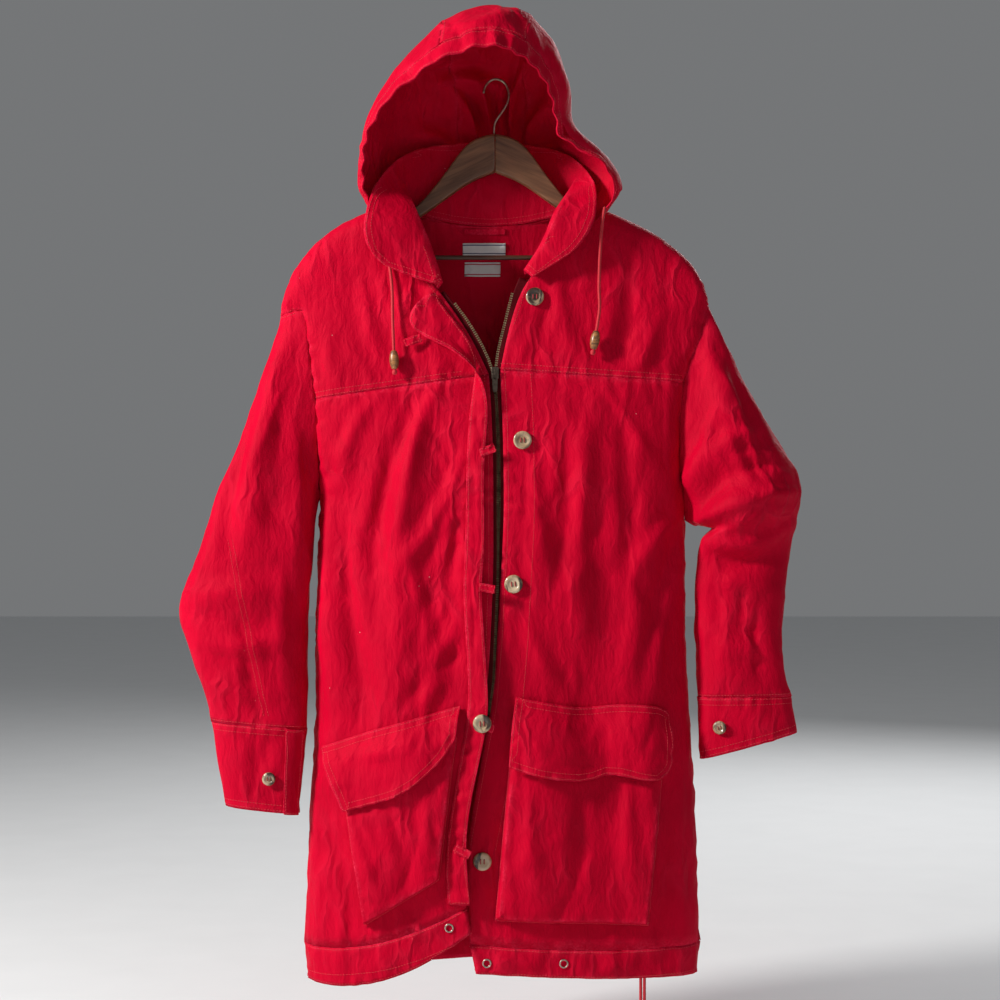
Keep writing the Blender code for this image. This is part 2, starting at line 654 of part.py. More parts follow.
def sleeve_point(side, around, ring):
    """Outer face of a sleeve: around 0 at the outer fold, 1 at the underarm fold, and on to
    2 over the back; ring = row of the sleeve's table."""
    rows = SLEEVE[side]
    around, ring = np.broadcast_arrays(np.asarray(around, float), np.asarray(ring, float))
    share = np.where(around <= 1.0, around, 2.0 - around)
    sign = np.where(around <= 1.0, -1.0, 1.0)
    at_front = np.where(around <= 1.0, 1.0, 0.0)
    arm_rows = np.interp(share, arm_share(side, ARM_FINE), ARM_FINE)
    armhole = front_point(side, 1.0, arm_rows)
    outer_x, outer_z = follow(rows["outer_x"], ring), follow(rows["outer_z"], ring)
    inner_x, inner_z = follow(rows["inner_x"], ring), follow(rows["inner_z"], ring)
    keep = (1.0 - np.clip(ring / 5.0, 0.0, 1.0)) ** 1.6
    chord_x = rows["outer_x"][0] + (rows["inner_x"][0] - rows["outer_x"][0]) * share
    chord_z = rows["outer_z"][0] + (rows["inner_z"][0] - rows["outer_z"][0]) * share
    x = outer_x + (inner_x - outer_x) * share + (armhole[..., 0] - chord_x) * keep
    z = outer_z + (inner_z - outer_z) * share + (armhole[..., 2] - chord_z) * keep
    full = follow(rows["half"], ring) * (1 - np.abs(2 * share - 1) ** 2.6) ** (1 / 2.6)
    settle = ease(ring / 1.5)
    half = -armhole[..., 1] * (1 - settle) + full * settle
    sag = np.sin(np.pi * share) ** 0.8 * at_front
    y = follow(rows["mid_y"], ring) + sign * half + follow(rows["tuck_y"], ring) * sag
    z = z + follow(rows["tuck_z"], ring) * sag
    return stack(x, y, z)


def cuff_point(side, around, ring):
    rows = CUFF[side]
    around, ring = np.broadcast_arrays(np.asarray(around, float), np.asarray(ring, float))
    share = np.where(around <= 1.0, around, 2.0 - around)
    sign = np.where(around <= 1.0, -1.0, 1.0)
    x = follow(rows["outer_x"], ring) * (1 - share) + follow(rows["inner_x"], ring) * share
    z = follow(rows["outer_z"], ring) * (1 - share) + follow(rows["inner_z"], ring) * share
    half = follow(rows["half"], ring) * (1 - np.abs(2 * share - 1) ** 2.6) ** (1 / 2.6)
    return stack(x, follow(rows["mid_y"], ring) + sign * half, z)


def tube_around(shares):
    """Once round a flattened tube: the front shares out, the same ones back behind."""
    shares = np.asarray(shares, float)
    return np.concatenate([shares, 2.0 - shares[-2:0:-1]])


def make_sleeves():
    for side in (LEFT, RIGHT):
        last = len(SLEEVE[side]["half"]) - 1.0
        rings = last * np.linspace(0.0, 1.0, SLEEVE_RINGS[side])
        rings[0] = 0.012
        around = tube_around(arm_share(side, ARM_ROWS))
        around_grid, ring_grid = np.meshgrid(around, rings)
        grid = sleeve_point(side, around_grid, ring_grid)
        make_wall(f"sleeve_{side}", grid, CLOTH, RED, towards_axis, ring=True)
        shares = (1 - np.cos(np.linspace(0, math.pi, 11))) / 2
        around_grid, ring_grid = np.meshgrid(tube_around(shares), np.linspace(0, 3, 4))
        grid = cuff_point(side, around_grid, ring_grid)
        make_wall(f"cuff_{side}", grid, CLOTH, RED, towards_axis, ring=True)
    place_on_cuff(LEFT, "cuff_placket_left", (0.80, 0.97), (0.05, 3.15), 2.2)


def cuff_lifted(side, around, ring, lift):
    """A point of a cuff's front moved out from its face."""
    step = 0.01
    along = cuff_point(side, around + step, ring) - cuff_point(side, around - step, ring)
    down = cuff_point(side, around, ring + step) - cuff_point(side, around, ring - step)
    normal = np.cross(along, down)
    normal /= np.linalg.norm(normal, axis=-1, keepdims=True)
    normal *= np.where(normal[..., 1:2] > 0, -1, 1)
    return cuff_point(side, around, ring) + normal * lift * MM


def place_on_cuff(side, name, share_range, ring_range, lift):
    around, ring = np.meshgrid(np.linspace(*share_range, 4), np.linspace(*ring_range, 6))
    grid = cuff_lifted(side, around, ring, lift)
    make_wall(name, grid, THIN_CLOTH, RED, towards(0, 1, 0))


# ---------------------------------------------------------------- collar
def neck_edge(side, station):
    """The neck seam: 0 at the front end, 3 at the shoulder's neck point, 5 centre back."""
    station = np.asarray(station, float)
    front = front_point(side, 0.0, np.clip(3.0 - station, 0.0, 3.0))
    across = NECK_SHARE * np.clip((5.0 - station) / 2.0, 0.0, 1.0)
    back = back_point(side, across, 0.0)
    return np.where((station < 3.0)[..., None], front, back)


def neck_seam(side, station):
    """The neck seam moved off the body's edge by the seam gap."""
    station = np.asarray(station, float)
    row = np.clip(3.0 - station, 0.0, 3.0)
    front = front_point(side, 0.0, row) - front_point(side, 0.05, row)
    across = NECK_SHARE * np.clip((5.0 - station) / 2.0, 0.0, 1.0)
    back = back_point(side, across, 0.0) - back_point(side, across, 0.3)
    away = np.where((station < 3.0)[..., None], front, back)
    away /= np.linalg.norm(away, axis=-1, keepdims=True)
    return neck_edge(side, station) + away * 2 * SEAM_GAP * MM


def collar_point(side, station, out):
    """The collar's under side: out 0 at the seam, 1 at the roll line, 2 at the free edge."""
    rows = COLLAR[side]
    station, out = np.broadcast_arrays(np.asarray(station, float), np.asarray(out, float))
    seam = neck_seam(side, station)
    roll = stack(*(follow(rows[f"roll_{axis}"], station) for axis in "xyz"))
    edge = stack(*(follow(rows[f"edge_{axis}"], station) for axis in "xyz"))
    part = out / 2.0
    to_roll, to_edge = (1 - out)[..., None], (out - 1)[..., None]
    straight = np.where((out <= 1.0)[..., None], roll + (seam - roll) * to_roll,
                        roll + (edge - roll) * to_edge)
    control = 2 * roll - (seam + edge) / 2
    part = part[..., None]
    curved = (1 - part) ** 2 * seam + 2 * part * (1 - part) * control + part ** 2 * edge
    return 0.45 * straight + 0.55 * curved


def collar_stations():
    """Stations of both halves, at the same places as the body's own neck edge."""
    front = [3.0 - row for row in YOKE_ROWS[7:0:-1]]
    back = [3.0 + 2.0 * i / NECK_STRIPS for i in range(NECK_STRIPS + 1)]
    return np.array(front + back)


def make_collar():
    stations = collar_stations()
    out = np.linspace(0, 2, COLLAR_STRIPS + 1)
    station_grid, out_grid = np.meshgrid(stations, out)
    left = collar_point(LEFT, station_grid, out_grid)
    right = collar_point(RIGHT, station_grid, out_grid)
    grid = np.concatenate([left, right[:, -2::-1]], axis=1)
    make_wall("collar", grid, CLOTH, RED, towards(0, -1, 0))


# ---------------------------------------------------------------- hood
def hood_foot(side, station):
    """The hood's seam, off the body's neck edge: in front of it, over the shoulder, behind."""
    turn = np.clip((station - 2.2) / 1.6, 0.0, 1.0) * math.pi
    reach = (4.0 - 1.4 * ease(station - 2.6)) * MM
    sign = -1.0 if side == LEFT else 1.0
    away = stack(sign * np.sin(turn) * 1.3, -np.cos(turn), np.sin(turn))
    return neck_edge(side, station) + away * reach[..., None]


def hood_side(side, near, row):
    """One half of an arch: near 0 at the foot, SIDE_STRIPS at the cheek, then to the top."""
    cheek_x, cheek_z = follow(HOOD[f"{side}_x"], row), follow(HOOD[f"{side}_z"], row)
    swell_x, swell_z = (follow(HOOD[f"{side}_swell_{axis}"], row) for axis in "xz")
    top_x, top_z = follow(HOOD["top_x"], row), follow(HOOD["top_z"], row)
    cheek_y, top_y = follow(HOOD["cheek_y"], row), follow(HOOD["top_y"], row)
    foot = hood_foot(side, follow(HOOD["foot"], row))
    up = np.clip(near / SIDE_STRIPS, 0.0, 1.0)
    swell_y = np.where(cheek_y < 0, foot[..., 1] * 0.5, (foot[..., 1] + cheek_y) / 2)
    swell_y = swell_y - RIM_FORWARD * MM * (1.0 - ease(row / 3.0))
    weights = ((1 - up) ** 2, 2 * up * (1 - up), up ** 2)
    x = weights[0] * foot[..., 0] + weights[1] * swell_x + weights[2] * cheek_x
    y = weights[0] * foot[..., 1] + weights[1] * swell_y + weights[2] * cheek_y
    z = weights[0] * foot[..., 2] + weights[1] * swell_z + weights[2] * cheek_z
    turn = np.clip((near - SIDE_STRIPS) / ARCH_STRIPS, 0.0, 1.0) * math.pi / 2
    power = LEFT_ARCH_POWER if side == LEFT else RIGHT_ARCH_POWER
    across, height = np.cos(turn) ** power, np.sin(turn) ** power
    arch = near > SIDE_STRIPS
    x = np.where(arch, top_x + (cheek_x - top_x) * across, x)
    z = np.where(arch, cheek_z + (top_z - cheek_z) * height, z)
    y = np.where(arch, cheek_y + (top_y - cheek_y) * np.sin(turn) ** 1.6, y)
    return stack(x, y, z)


def hood_point(along, row):
    """Outer face of the hood: along 0 at the left foot to HOOD_STRIPS at the right foot."""
    along, row = np.broadcast_arrays(np.asarray(along, float), np.asarray(row, float))
    left = hood_side(LEFT, np.minimum(along, HOOD_STRIPS / 2), row)
    right = hood_side(RIGHT, np.minimum(HOOD_STRIPS - along, HOOD_STRIPS / 2), row)
    return np.where((along <= HOOD_STRIPS / 2)[..., None], left, right)


def hood_normal(along, row):
    """Square to the hood's smooth surface."""
    step_a, step_r = 0.05, 0.05
    across = (hood_point(np.minimum(along + step_a, HOOD_STRIPS), row)
              - hood_point(np.maximum(along - step_a, 0.0), row))
    down = (hood_point(along, np.minimum(row + step_r, HOOD_LAST_ROW))
            - hood_point(along, np.maximum(row - step_r, 0.0)))
    normal = np.cross(across, down)
    return normal / np.linalg.norm(normal, axis=-1, keepdims=True)


def towards_hood_middle(grid):
    """Into the hood, away from its crown and sides."""
    return np.array([-5, -20, -90]) * MM - grid


def make_hood():
    rows = np.array([1, 1.4, 2, 2.5, 3, 3.5, 4, 4.6, 5.3, 6, 7, 8, 9])
    first, last = CENTRE_STRIP
    gap = 0.02
    spans = {"hood_side_left": np.append(np.arange(0, first), first - gap),
             "hood_centre": np.concatenate([[first + gap], np.arange(first + 1, last),
                                            [last - gap]]),
             "hood_side_right": np.insert(np.arange(last + 1, HOOD_STRIPS + 1.0), 0,
                                          last + gap)}
    for name, span in spans.items():
        along, row = np.meshgrid(span, rows)
        make_wall(name, hood_point(along, row), THIN_CLOTH, RED, towards_hood_middle,
                  normal=hood_normal(along, row))
    along = np.linspace(0, HOOD_STRIPS, 4 * GATHERS + 1)
    along_grid, row_grid = np.meshgrid(along, [0.0, 0.47, 0.94])
    grid, normal = hood_point(along_grid, row_grid), hood_normal(along_grid, row_grid)
    # The seam keeps to the panels' straight strips.
    strips = np.arange(HOOD_STRIPS + 1.0)
    for values in (grid, normal):
        edge = values[-1, ::4].copy()
        for axis in range(3):
            values[-1, :, axis] = np.interp(along, strips, edge[:, axis])
    if np.sum(normal * towards_hood_middle(grid)) > 0:
        normal = -normal
    wave = np.sin(along_grid / HOOD_STRIPS * 2 * math.pi * GATHERS)
    wave *= ease(np.minimum(along_grid, HOOD_STRIPS - along_grid) / 2) * (1 - 0.9 * row_grid)
    grid = grid + normal * (wave * CASING_WAVE * MM)[..., None]
    make_wall("hood_casing", grid, CLOTH, RED, towards_hood_middle, normal=normal)


# ---------------------------------------------------------------- pieces on the fronts
def make_storm_flap():
    z = np.concatenate([np.linspace(-247, -400, 14), np.linspace(-436, -930, 16)]) * MM
    at = np.interp(-z, -STORM_FLAP["z"], np.arange(len(STORM_FLAP["z"])))
    columns = []
    for share in (0.0, 0.34, 0.67, 1.0):
        sewn_x = follow(STORM_FLAP["sewn_x"], at)
        free_x, free_z = follow(STORM_FLAP["free_x"], at), follow(STORM_FLAP["free_z"], at)
        out = follow(STORM_FLAP["free_out"], at)
        swell = math.sin(math.pi * share) * 1.5 * MM
        lift = 2.2 * MM + (out - 2.2 * MM) * share + swell
        columns.append(on_front(LEFT, sewn_x + (free_x - sewn_x) * share,
                                z + (free_z - z) * share, lift))
    grid = np.stack(columns, axis=1)
    make_wall("storm_flap", grid, THIN_CLOTH, RED, towards(0, 1, 0))


def make_button_tabs():
    for number, (x, z, length, tilt, lift) in enumerate(BUTTON_TABS, start=1):
        turn = math.radians(tilt)
        along = np.array([math.cos(turn), math.sin(turn)])
        aside = np.array([-along[1], along[0]])
        share, width = np.meshgrid(np.linspace(0, 1, 4), (-4.5, 4.5))
        places = (np.array([x, z]) + share[..., None] * length * along
                  + width[..., None] * aside)
        grid = on_front(LEFT, places[..., 0] * MM, places[..., 1] * MM,
                        (lift + 2 * share) * MM)
        make_wall(f"button_tab_{number}", grid, 1.2, RED, towards(0, 1, 0))


def normal_at(surface_point, step=0.5 * MM):
    """Outward normal of a front-facing surface given by x and z."""
    middle = surface_point(0.0, 0.0)
    right = surface_point(step, 0.0) - middle
    up = surface_point(0.0, step) - middle
    normal = np.cross(right, up)
    normal /= np.linalg.norm(normal)
    return -normal if normal[1] > 0 else normal


def button_profile(radius):
    return [(0, 0), (radius * 0.96, 0), (radius, 0.35 * BUTTON_THICK),
            (radius * 0.93, BUTTON_THICK), (radius * 0.72, 0.72 * BUTTON_THICK),
            (0, 0.72 * BUTTON_THICK)]


def make_buttons():
    for number, (side, x, z, lift) in enumerate(BUTTONS, start=1):
        def place(dx, dz):
            return on_front(side, np.array(x * MM + dx), np.array(z * MM + dz), lift * MM)
        turned(f"button_{number}", button_profile(BUTTON_R), place(0, 0), normal_at(place),
               HORN, 14)
    for side, (share, ring) in {LEFT: (0.62, 1.8), RIGHT: (0.80, 1.5)}.items():
        def place_cuff(along, down):
            return cuff_lifted(side, np.array(share + along), np.array(ring + down), 0.9)
        centre = place_cuff(0.0, 0.0)
        axis = centre - cuff_point(side, np.array(share), np.array(ring))
        turned(f"cuff_button_{side}", button_profile(CUFF_BUTTON_R), centre, axis, HORN, 12)


def quad(corners, share_across, share_down):
    """A place inside four corners: top left, top right, low right, low left."""
    top_left, top_right, low_right, low_left = (np.array(c, float) * MM for c in corners)
    share_across, share_down = share_across[..., None], share_down[..., None]
    top = top_left + (top_right - top_left) * share_across
    low = low_left + (low_right - low_left) * share_across
    return top + (low - top) * share_down


def make_pockets():
    for side in (LEFT, RIGHT):
        across = np.array([0, 0.025, 0.1, 0.3, 0.5, 0.7, 0.9, 0.975, 1.0])
        down = np.array([0, 0.25, 0.5, 0.75, 0.92, 0.98, 1.0])
        across_grid, down_grid = np.meshgrid(across, down)
        place = quad(POCKETS[side], across_grid, down_grid)
        edge = np.minimum(np.minimum(across_grid, 1 - across_grid), 1 - down_grid)
        stand = rise(edge / 0.06) * (0.2 + 0.8 * ease(down_grid / 0.5))
        lift = (2.8 + POCKET_DEPTH * stand) * MM
        grid = on_front(side, place[..., 0], place[..., 1], lift)
        make_wall(f"pocket_{side}", grid, THIN_CLOTH, RED, towards(0, 1, 0))
        rows = POCKET_FLAPS[side]
        count = len(rows["top_x"])
        at = np.linspace(0, count - 1, 2 * count)
        down = np.array([0, 0.12, 0.3, 0.55, 0.8, 1.0])
        at_grid, down_grid = np.meshgrid(at, down)
        top_x, top_z = follow(rows["top_x"], at_grid), follow(rows["top_z"], at_grid)
        low_x, low_z = follow(rows["low_x"], at_grid), follow(rows["low_z"], at_grid)
        lift = (3.6 + (POCKET_DEPTH + 1.5) * ease(down_grid / 0.42)) * MM
        grid = on_front(side, top_x + (low_x - top_x) * down_grid,
                        top_z + (low_z - top_z) * down_grid, lift)
        make_wall(f"pocket_flap_{side}", grid, THIN_CLOTH, RED, towards(0, 1, 0))


def make_zip():
    rows = np.concatenate([np.linspace(3.1, 5, 7), np.linspace(5.6, 11.2, 12)])
    for side in (LEFT, RIGHT):
        reach = ZIP_TAPE * MM
        inner = front_point(side, 0.0, rows)
        width = np.abs(follow(FRONT[side]["outer_x"], rows) - inner[:, 0])
        columns = [front_point(side, offset * reach / width, rows) for offset in (1.8, 0.3, -0.9)]
        grid = np.stack(columns, axis=1) + np.array([0, (CLOTH + 0.9) * MM, 0])
        make_wall(f"zip_tape_{side}", grid, 1.0, RED_SHADE, towards(0, 1, 0))


def make_box(name, low, high, finish):
    """A plain plate or block between two corners, in mm."""
    low, high = np.array(low, float) * MM, np.array(high, float) * MM
    points = [(x, y, z) for x in (low[0], high[0]) for y in (low[1], high[1])
              for z in (low[2], high[2])]
    faces = [(0, 1, 3, 2), (4, 6, 7, 5), (0, 4, 5, 1), (2, 3, 7, 6), (0, 2, 6, 4), (1, 5, 7, 3)]
    return make_object(name, points, faces, finish, flat=True)


# ---------------------------------------------------------------- zip slider and pull tab
SLIDER = {"x": 0.0, "z": -337.0, "half_width": 4.2, "half_height": 6.5, "depth": 3.0}
BRIDGE_HALF, BRIDGE_GAP, BRIDGE_BAR = 3.6, 2.4, 1.1
TAB_HALF_WIDTH, TAB_LENGTH, TAB_THICK, TAB_WINDOW = 3.0, 20.0, 1.2, 5.6


def slider_face():
    """y of the slider's front face, in mm."""
    middle = front_point(RIGHT, 0.0, CHEST_ROW)[1] / MM
    return middle + CLOTH + 0.9 - SEAM_GAP - 0.8 - SLIDER["depth"]


def pull_pivot():
    """The pull tab's axis: the middle of its top bar, inside the slider's bridge."""
    low_leg = SLIDER["z"] - BRIDGE_HALF + BRIDGE_BAR
    return np.array([SLIDER["x"], slider_face() - BRIDGE_GAP / 2, low_leg + 0.9])


def make_zip_slider():
    """The slider's body and its bridge, one outline in side view given its width."""
    x, z, face = SLIDER["x"], SLIDER["z"], slider_face()
    top, low = z + SLIDER["half_height"], z - SLIDER["half_height"]
    make_box("zip_slider", (x - SLIDER["half_width"], face, low),
             (x + SLIDER["half_width"], face + SLIDER["depth"], top), GUNMETAL)
    out = BRIDGE_GAP + BRIDGE_BAR
    side_view = [(0, -BRIDGE_HALF), (-out, -BRIDGE_HALF), (-out, BRIDGE_HALF), (0, BRIDGE_HALF),
                 (0, BRIDGE_HALF - BRIDGE_BAR), (-BRIDGE_GAP, BRIDGE_HALF - BRIDGE_BAR),
                 (-BRIDGE_GAP, BRIDGE_BAR - BRIDGE_HALF), (0, BRIDGE_BAR - BRIDGE_HALF)]
    count = len(side_view)
    points = [((x + aside) * MM, (face + y) * MM, (z + up) * MM)
              for aside in (-0.7, 0.7) for y, up in side_view]
    faces = [tuple(range(count))[::-1], tuple(range(count, 2 * count))]
    for i in range(count):
        j = (i + 1) % count
        faces.append((i, j, j + count, i + count))
    bridge = make_object("zip_bridge", points, faces, GUNMETAL, flat=True)
    join = bpy.data.objects["zip_slider"].modifiers.new("bridge", "BOOLEAN")
    join.operation = "UNION"
    join.object = bridge
    bridge.location.y = 0.1 * MM
    bridge.hide_render = True
    bridge.display_type = "WIRE"


def make_pull_tab():
    pivot = pull_pivot()
    half, thick = TAB_HALF_WIDTH, TAB_THICK / 2
    outline = [(-half, 0.7), (half, 0.7), (half, -TAB_LENGTH + 2), (half * 0.55, -TAB_LENGTH),
               (-half * 0.55, -TAB_LENGTH), (-half, -TAB_LENGTH + 2)]
    window = [(-1.7, -0.6), (1.7, -0.6), (1.7, -TAB_WINDOW), (-1.7, -TAB_WINDOW)]
    points = []
    for y in (-thick, thick):
        points += [(px * MM, y * MM, pz * MM) for px, pz in outline + window]
    # The face round the window, in strips between the outline's corners and the window's.
    face = [(0, 1, 7, 6), (1, 2, 8, 7), (2, 3, 4, 5, 9, 8), (5, 0, 6, 9)]
    back = 10
    faces = [f for f in face] + [tuple(i + back for i in reversed(f)) for f in face]
    for i in range(6):
        j = (i + 1) % 6
        faces.append((j, i, i + back, j + back))
    for i in range(4):
        j = (i + 1) % 4
        faces.append((6 + i, 6 + j, 6 + j + back, 6 + i + back))
    tab = make_object("zip_pull_tab", points, [f[::-1] for f in faces], GUNMETAL, flat=True)
    tab.location = tuple(pivot * MM)


# ---------------------------------------------------------------- hanger
def make_hanger():
    xs, tops, lows = (HANGER[name] / MM for name in ("x", "top_z", "low_z"))
    for side, sign in ((LEFT, -1.0), (RIGHT, 1.0)):
        points = []
        for x, top, low in zip(xs, tops, lows):
            cut = min(2.5, (top - low) * 0.3)
            half = HANGER_HALF
            ring = [(-half, top - cut), (-half + cut, top), (half - cut, top),
                    (half, top - cut), (half, low + cut), (half - cut, low),
                    (-half + cut, low), (-half, low + cut)]
            points += [(sign * x * MM, y * MM, z * MM) for y, z in ring]
        faces = []
        for i in range(len(xs) - 1):
            for j in range(8):
                a, b = i * 8 + j, i * 8 + (j + 1) % 8
                faces.append((a, b, b + 8, a + 8))
        faces.append(tuple(range(7, -1, -1)))
        faces.append(tuple(range(len(xs) * 8 - 8, len(xs) * 8)))
        if sign > 0:
            faces = [f[::-1] for f in faces]
        make_object(f"hanger_{side}", points, faces, WOOD)
    bar = [(x * MM, 0.0, BAR_Z * MM) for x in np.linspace(-BAR_HALF, BAR_HALF, 9)]
    make_tube("trouser_bar", bar, BAR_R * MM, DARK_WOOD, 2)
    route = smooth_route([(x * MM, 0.0, z * MM) for x, z in HOOK_ROUTE], 6 * MM)
    make_tube("hook", route, HOOK_R * MM, STEEL, 2)


# ---------------------------------------------------------------- small pieces
def make_rings():
    """Hem eyelets and hood grommets, each a turned ring on the cloth."""
    profile = [(3.3, 0), (EYELET_R, 0), (EYELET_R * 0.93, 1.0), (3.7, 1.2)]
    for number, (side, x, z) in enumerate(EYELETS, start=1):
        def place(dx, dz):
            return on_front(side, np.array(x * MM + dx), np.array(z * MM + dz), 0.7 * MM)
        turned(f"hem_eyelet_{number}", profile, place(0, 0), normal_at(place), STEEL, 14)


def cord_end(name, start, way, finish, length, radius, sides=12):
    """A bead on a cord's end, from start along way."""
    steps = ((0.0, 0.0), (0.0, 0.5), (0.18, 0.8), (0.5, 1.0), (0.82, 0.8), (1.0, 0.5), (1.0, 0))
    profile = [(radius * share, length * along) for along, share in steps]
    profile[0] = (0, 0)
    profile[-1] = (0, length)
    turned(name, profile, start, way, finish, sides)


def make_cords():
    for side, route in HOOD_CORD_ROUTES.items():
        points = smooth_route(np.array(route, float) * MM, 2.6 * CORD * MM)
        make_tube(f"hood_cord_{side}", points, CORD / 2 * MM, CORD_RED, 2)
        way = points[-1] - points[-2]
        way /= np.linalg.norm(way)
        start = points[-1] + way * SEAM_GAP * MM
        cord_end(f"toggle_{side}", start, way, TOGGLE_WOOD, 21.0, 6.0)
        end = start + way * (21.0 + SEAM_GAP) * MM
        cord_end(f"hood_cord_knot_{side}", end, way, CORD_RED, 6.0, 3.4, 8)
    for number, x in enumerate(HEM_CORD_X, start=1):
        points = [(x * MM, HEM_CORD_Y * MM, z * MM) for z in np.linspace(*HEM_CORD_Z, 7)]
        make_tube(f"hem_cord_{number}", points, CORD / 2 * MM, CORD_RED, 2)
    start = np.array([sum(HEM_CORD_X) / 2, HEM_CORD_Y, HEM_CORD_Z[1] - SEAM_GAP]) * MM
    cord_end("hem_cord_knot", start, (0, 0, -1), CORD_RED, 9.0, 5.0)


def make_inside_neck():
    """Hanging loop and two blank labels, against the inside of the back at the neck."""
    inside = CLOTH + 0.6
    for name, (x0, x1, top, low) in INSIDE_PLATES.items():
        x, z = np.meshgrid(np.linspace(x0, x1, 5) * MM, np.linspace(top, low, 3) * MM)
        y = back_depth(x, z) - inside * MM
        finish = RED_SHADE if name == "hanging_loop" else LABEL_WHITE
        make_wall(name, stack(x, y, z), 1.0, finish, towards(0, -1, 0))


def back_depth(x, z):
    """y of the back's outer face behind a place near the neck."""
    row = np.interp(-z, -BACK_CENTRE_Z, np.arange(16.0))
    across = np.abs(x - BACK_CENTRE_X) / (np.abs(FRONT[LEFT]["outer_x"][4]))
    return back_point(LEFT, across, row)[..., 1]


def main():
    for old in list(bpy.data.objects):
        bpy.data.objects.remove(old)
    make_body()
    make_sleeves()
    make_collar()
    make_hood()
    make_storm_flap()
    make_button_tabs()
    make_buttons()
    make_pockets()
    make_zip()
    make_zip_slider()
    make_pull_tab()
    make_hanger()
    make_rings()
    make_cords()
    make_inside_neck()


main()
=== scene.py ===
"""The looks of a red hooded anorak on its wooden hanger.

Metres in the shared frame: +Z up, the coat's front towards -Y, the origin at the hook's
inside top. Left and right are the viewer's. Each cloth piece is a closed thin shell on its
solid's form, with creases, seam pucker and stitching of its own.
"""

import json
import math

import bmesh
import bpy
import numpy as np
from mathutils import Matrix, Vector
from mathutils.bvhtree import BVHTree
from mathutils.kdtree import KDTree

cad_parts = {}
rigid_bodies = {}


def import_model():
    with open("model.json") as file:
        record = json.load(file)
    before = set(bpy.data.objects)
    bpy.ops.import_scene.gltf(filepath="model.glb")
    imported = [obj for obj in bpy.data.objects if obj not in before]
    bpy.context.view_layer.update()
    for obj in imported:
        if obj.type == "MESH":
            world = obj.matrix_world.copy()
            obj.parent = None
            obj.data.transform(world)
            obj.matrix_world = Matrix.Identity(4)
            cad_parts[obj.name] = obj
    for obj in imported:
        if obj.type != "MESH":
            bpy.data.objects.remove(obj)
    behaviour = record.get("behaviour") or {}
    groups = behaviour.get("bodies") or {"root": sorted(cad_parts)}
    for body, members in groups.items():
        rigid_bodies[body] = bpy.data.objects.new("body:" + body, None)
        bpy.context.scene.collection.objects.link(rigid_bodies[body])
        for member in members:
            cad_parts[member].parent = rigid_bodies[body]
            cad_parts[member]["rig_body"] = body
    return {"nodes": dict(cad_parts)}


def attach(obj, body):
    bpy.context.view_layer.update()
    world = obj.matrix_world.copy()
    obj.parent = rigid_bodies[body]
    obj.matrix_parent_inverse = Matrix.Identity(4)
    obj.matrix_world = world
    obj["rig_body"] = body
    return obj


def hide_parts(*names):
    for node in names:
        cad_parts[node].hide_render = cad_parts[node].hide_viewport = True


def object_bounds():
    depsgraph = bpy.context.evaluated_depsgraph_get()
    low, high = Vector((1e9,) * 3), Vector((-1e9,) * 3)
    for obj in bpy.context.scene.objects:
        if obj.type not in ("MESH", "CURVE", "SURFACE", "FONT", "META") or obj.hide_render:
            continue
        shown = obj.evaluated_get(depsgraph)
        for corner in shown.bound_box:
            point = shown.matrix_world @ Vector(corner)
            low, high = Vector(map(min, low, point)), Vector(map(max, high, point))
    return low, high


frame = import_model()
CAD_BOX = [[float(v) for v in corner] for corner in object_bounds()]

MM = 0.001
LEFT, RIGHT = "left", "right"


def show(name, mesh):
    """Puts a mesh or a light's or camera's data in the scene as an object."""
    made = bpy.data.objects.new(name, mesh)
    bpy.context.scene.collection.objects.link(made)
    return made


# ---------------------------------------------------------------- camera and light
VIEW_CENTRE = (0.0057, -0.480)      # x and z at the middle of the picture
VIEW_WIDTH, VIEW_DISTANCE = 1.143, 2.4
SENSOR = 36                         # mm
FLOOR_HALF, FLOOR_GAP = 9.0, 0.03   # the coat hangs just clear of the floor


def place_camera():
    data = bpy.data.cameras.new("camera")
    data.sensor_width = SENSOR
    data.lens = SENSOR * VIEW_DISTANCE / VIEW_WIDTH
    camera = show("camera", data)
    camera.location = (VIEW_CENTRE[0], -VIEW_DISTANCE, VIEW_CENTRE[1])
    camera.rotation_euler = (math.radians(90), 0, 0)
    bpy.context.scene.camera = camera


def place_light(name, place, target, size, power, colour):
    data = bpy.data.lights.new(name, "AREA")
    data.shape = "DISK"
    data.size, data.energy, data.color = size, power, colour
    light = show(name, data)
    light.location = place
    light.rotation_euler = (Vector(target) - Vector(place)).to_track_quat("-Z", "Y").to_euler()


def light_studio():
    world = bpy.data.worlds.new("studio")
    world.use_nodes = True
    background = world.node_tree.nodes["Background"]
    background.inputs["Color"].default_value = (0.80, 0.82, 0.84, 1)
    background.inputs["Strength"].default_value = 0.22
    bpy.context.scene.world = world
    middle = (0, 0, -0.5)
    place_light("window", (-2.2, -1.05, 0.75), middle, 0.5, 96, (1.0, 0.98, 0.95))
    place_light("far fill", (1.2, -2.6, 0.0), middle, 2.0, 4, (0.95, 0.97, 1.0))
    place_light("rear fill", (1.2, 2.4, 0.9), middle, 1.6, 45, (1.0, 1.0, 1.0))
    bpy.context.scene.view_settings.view_transform = "Standard"


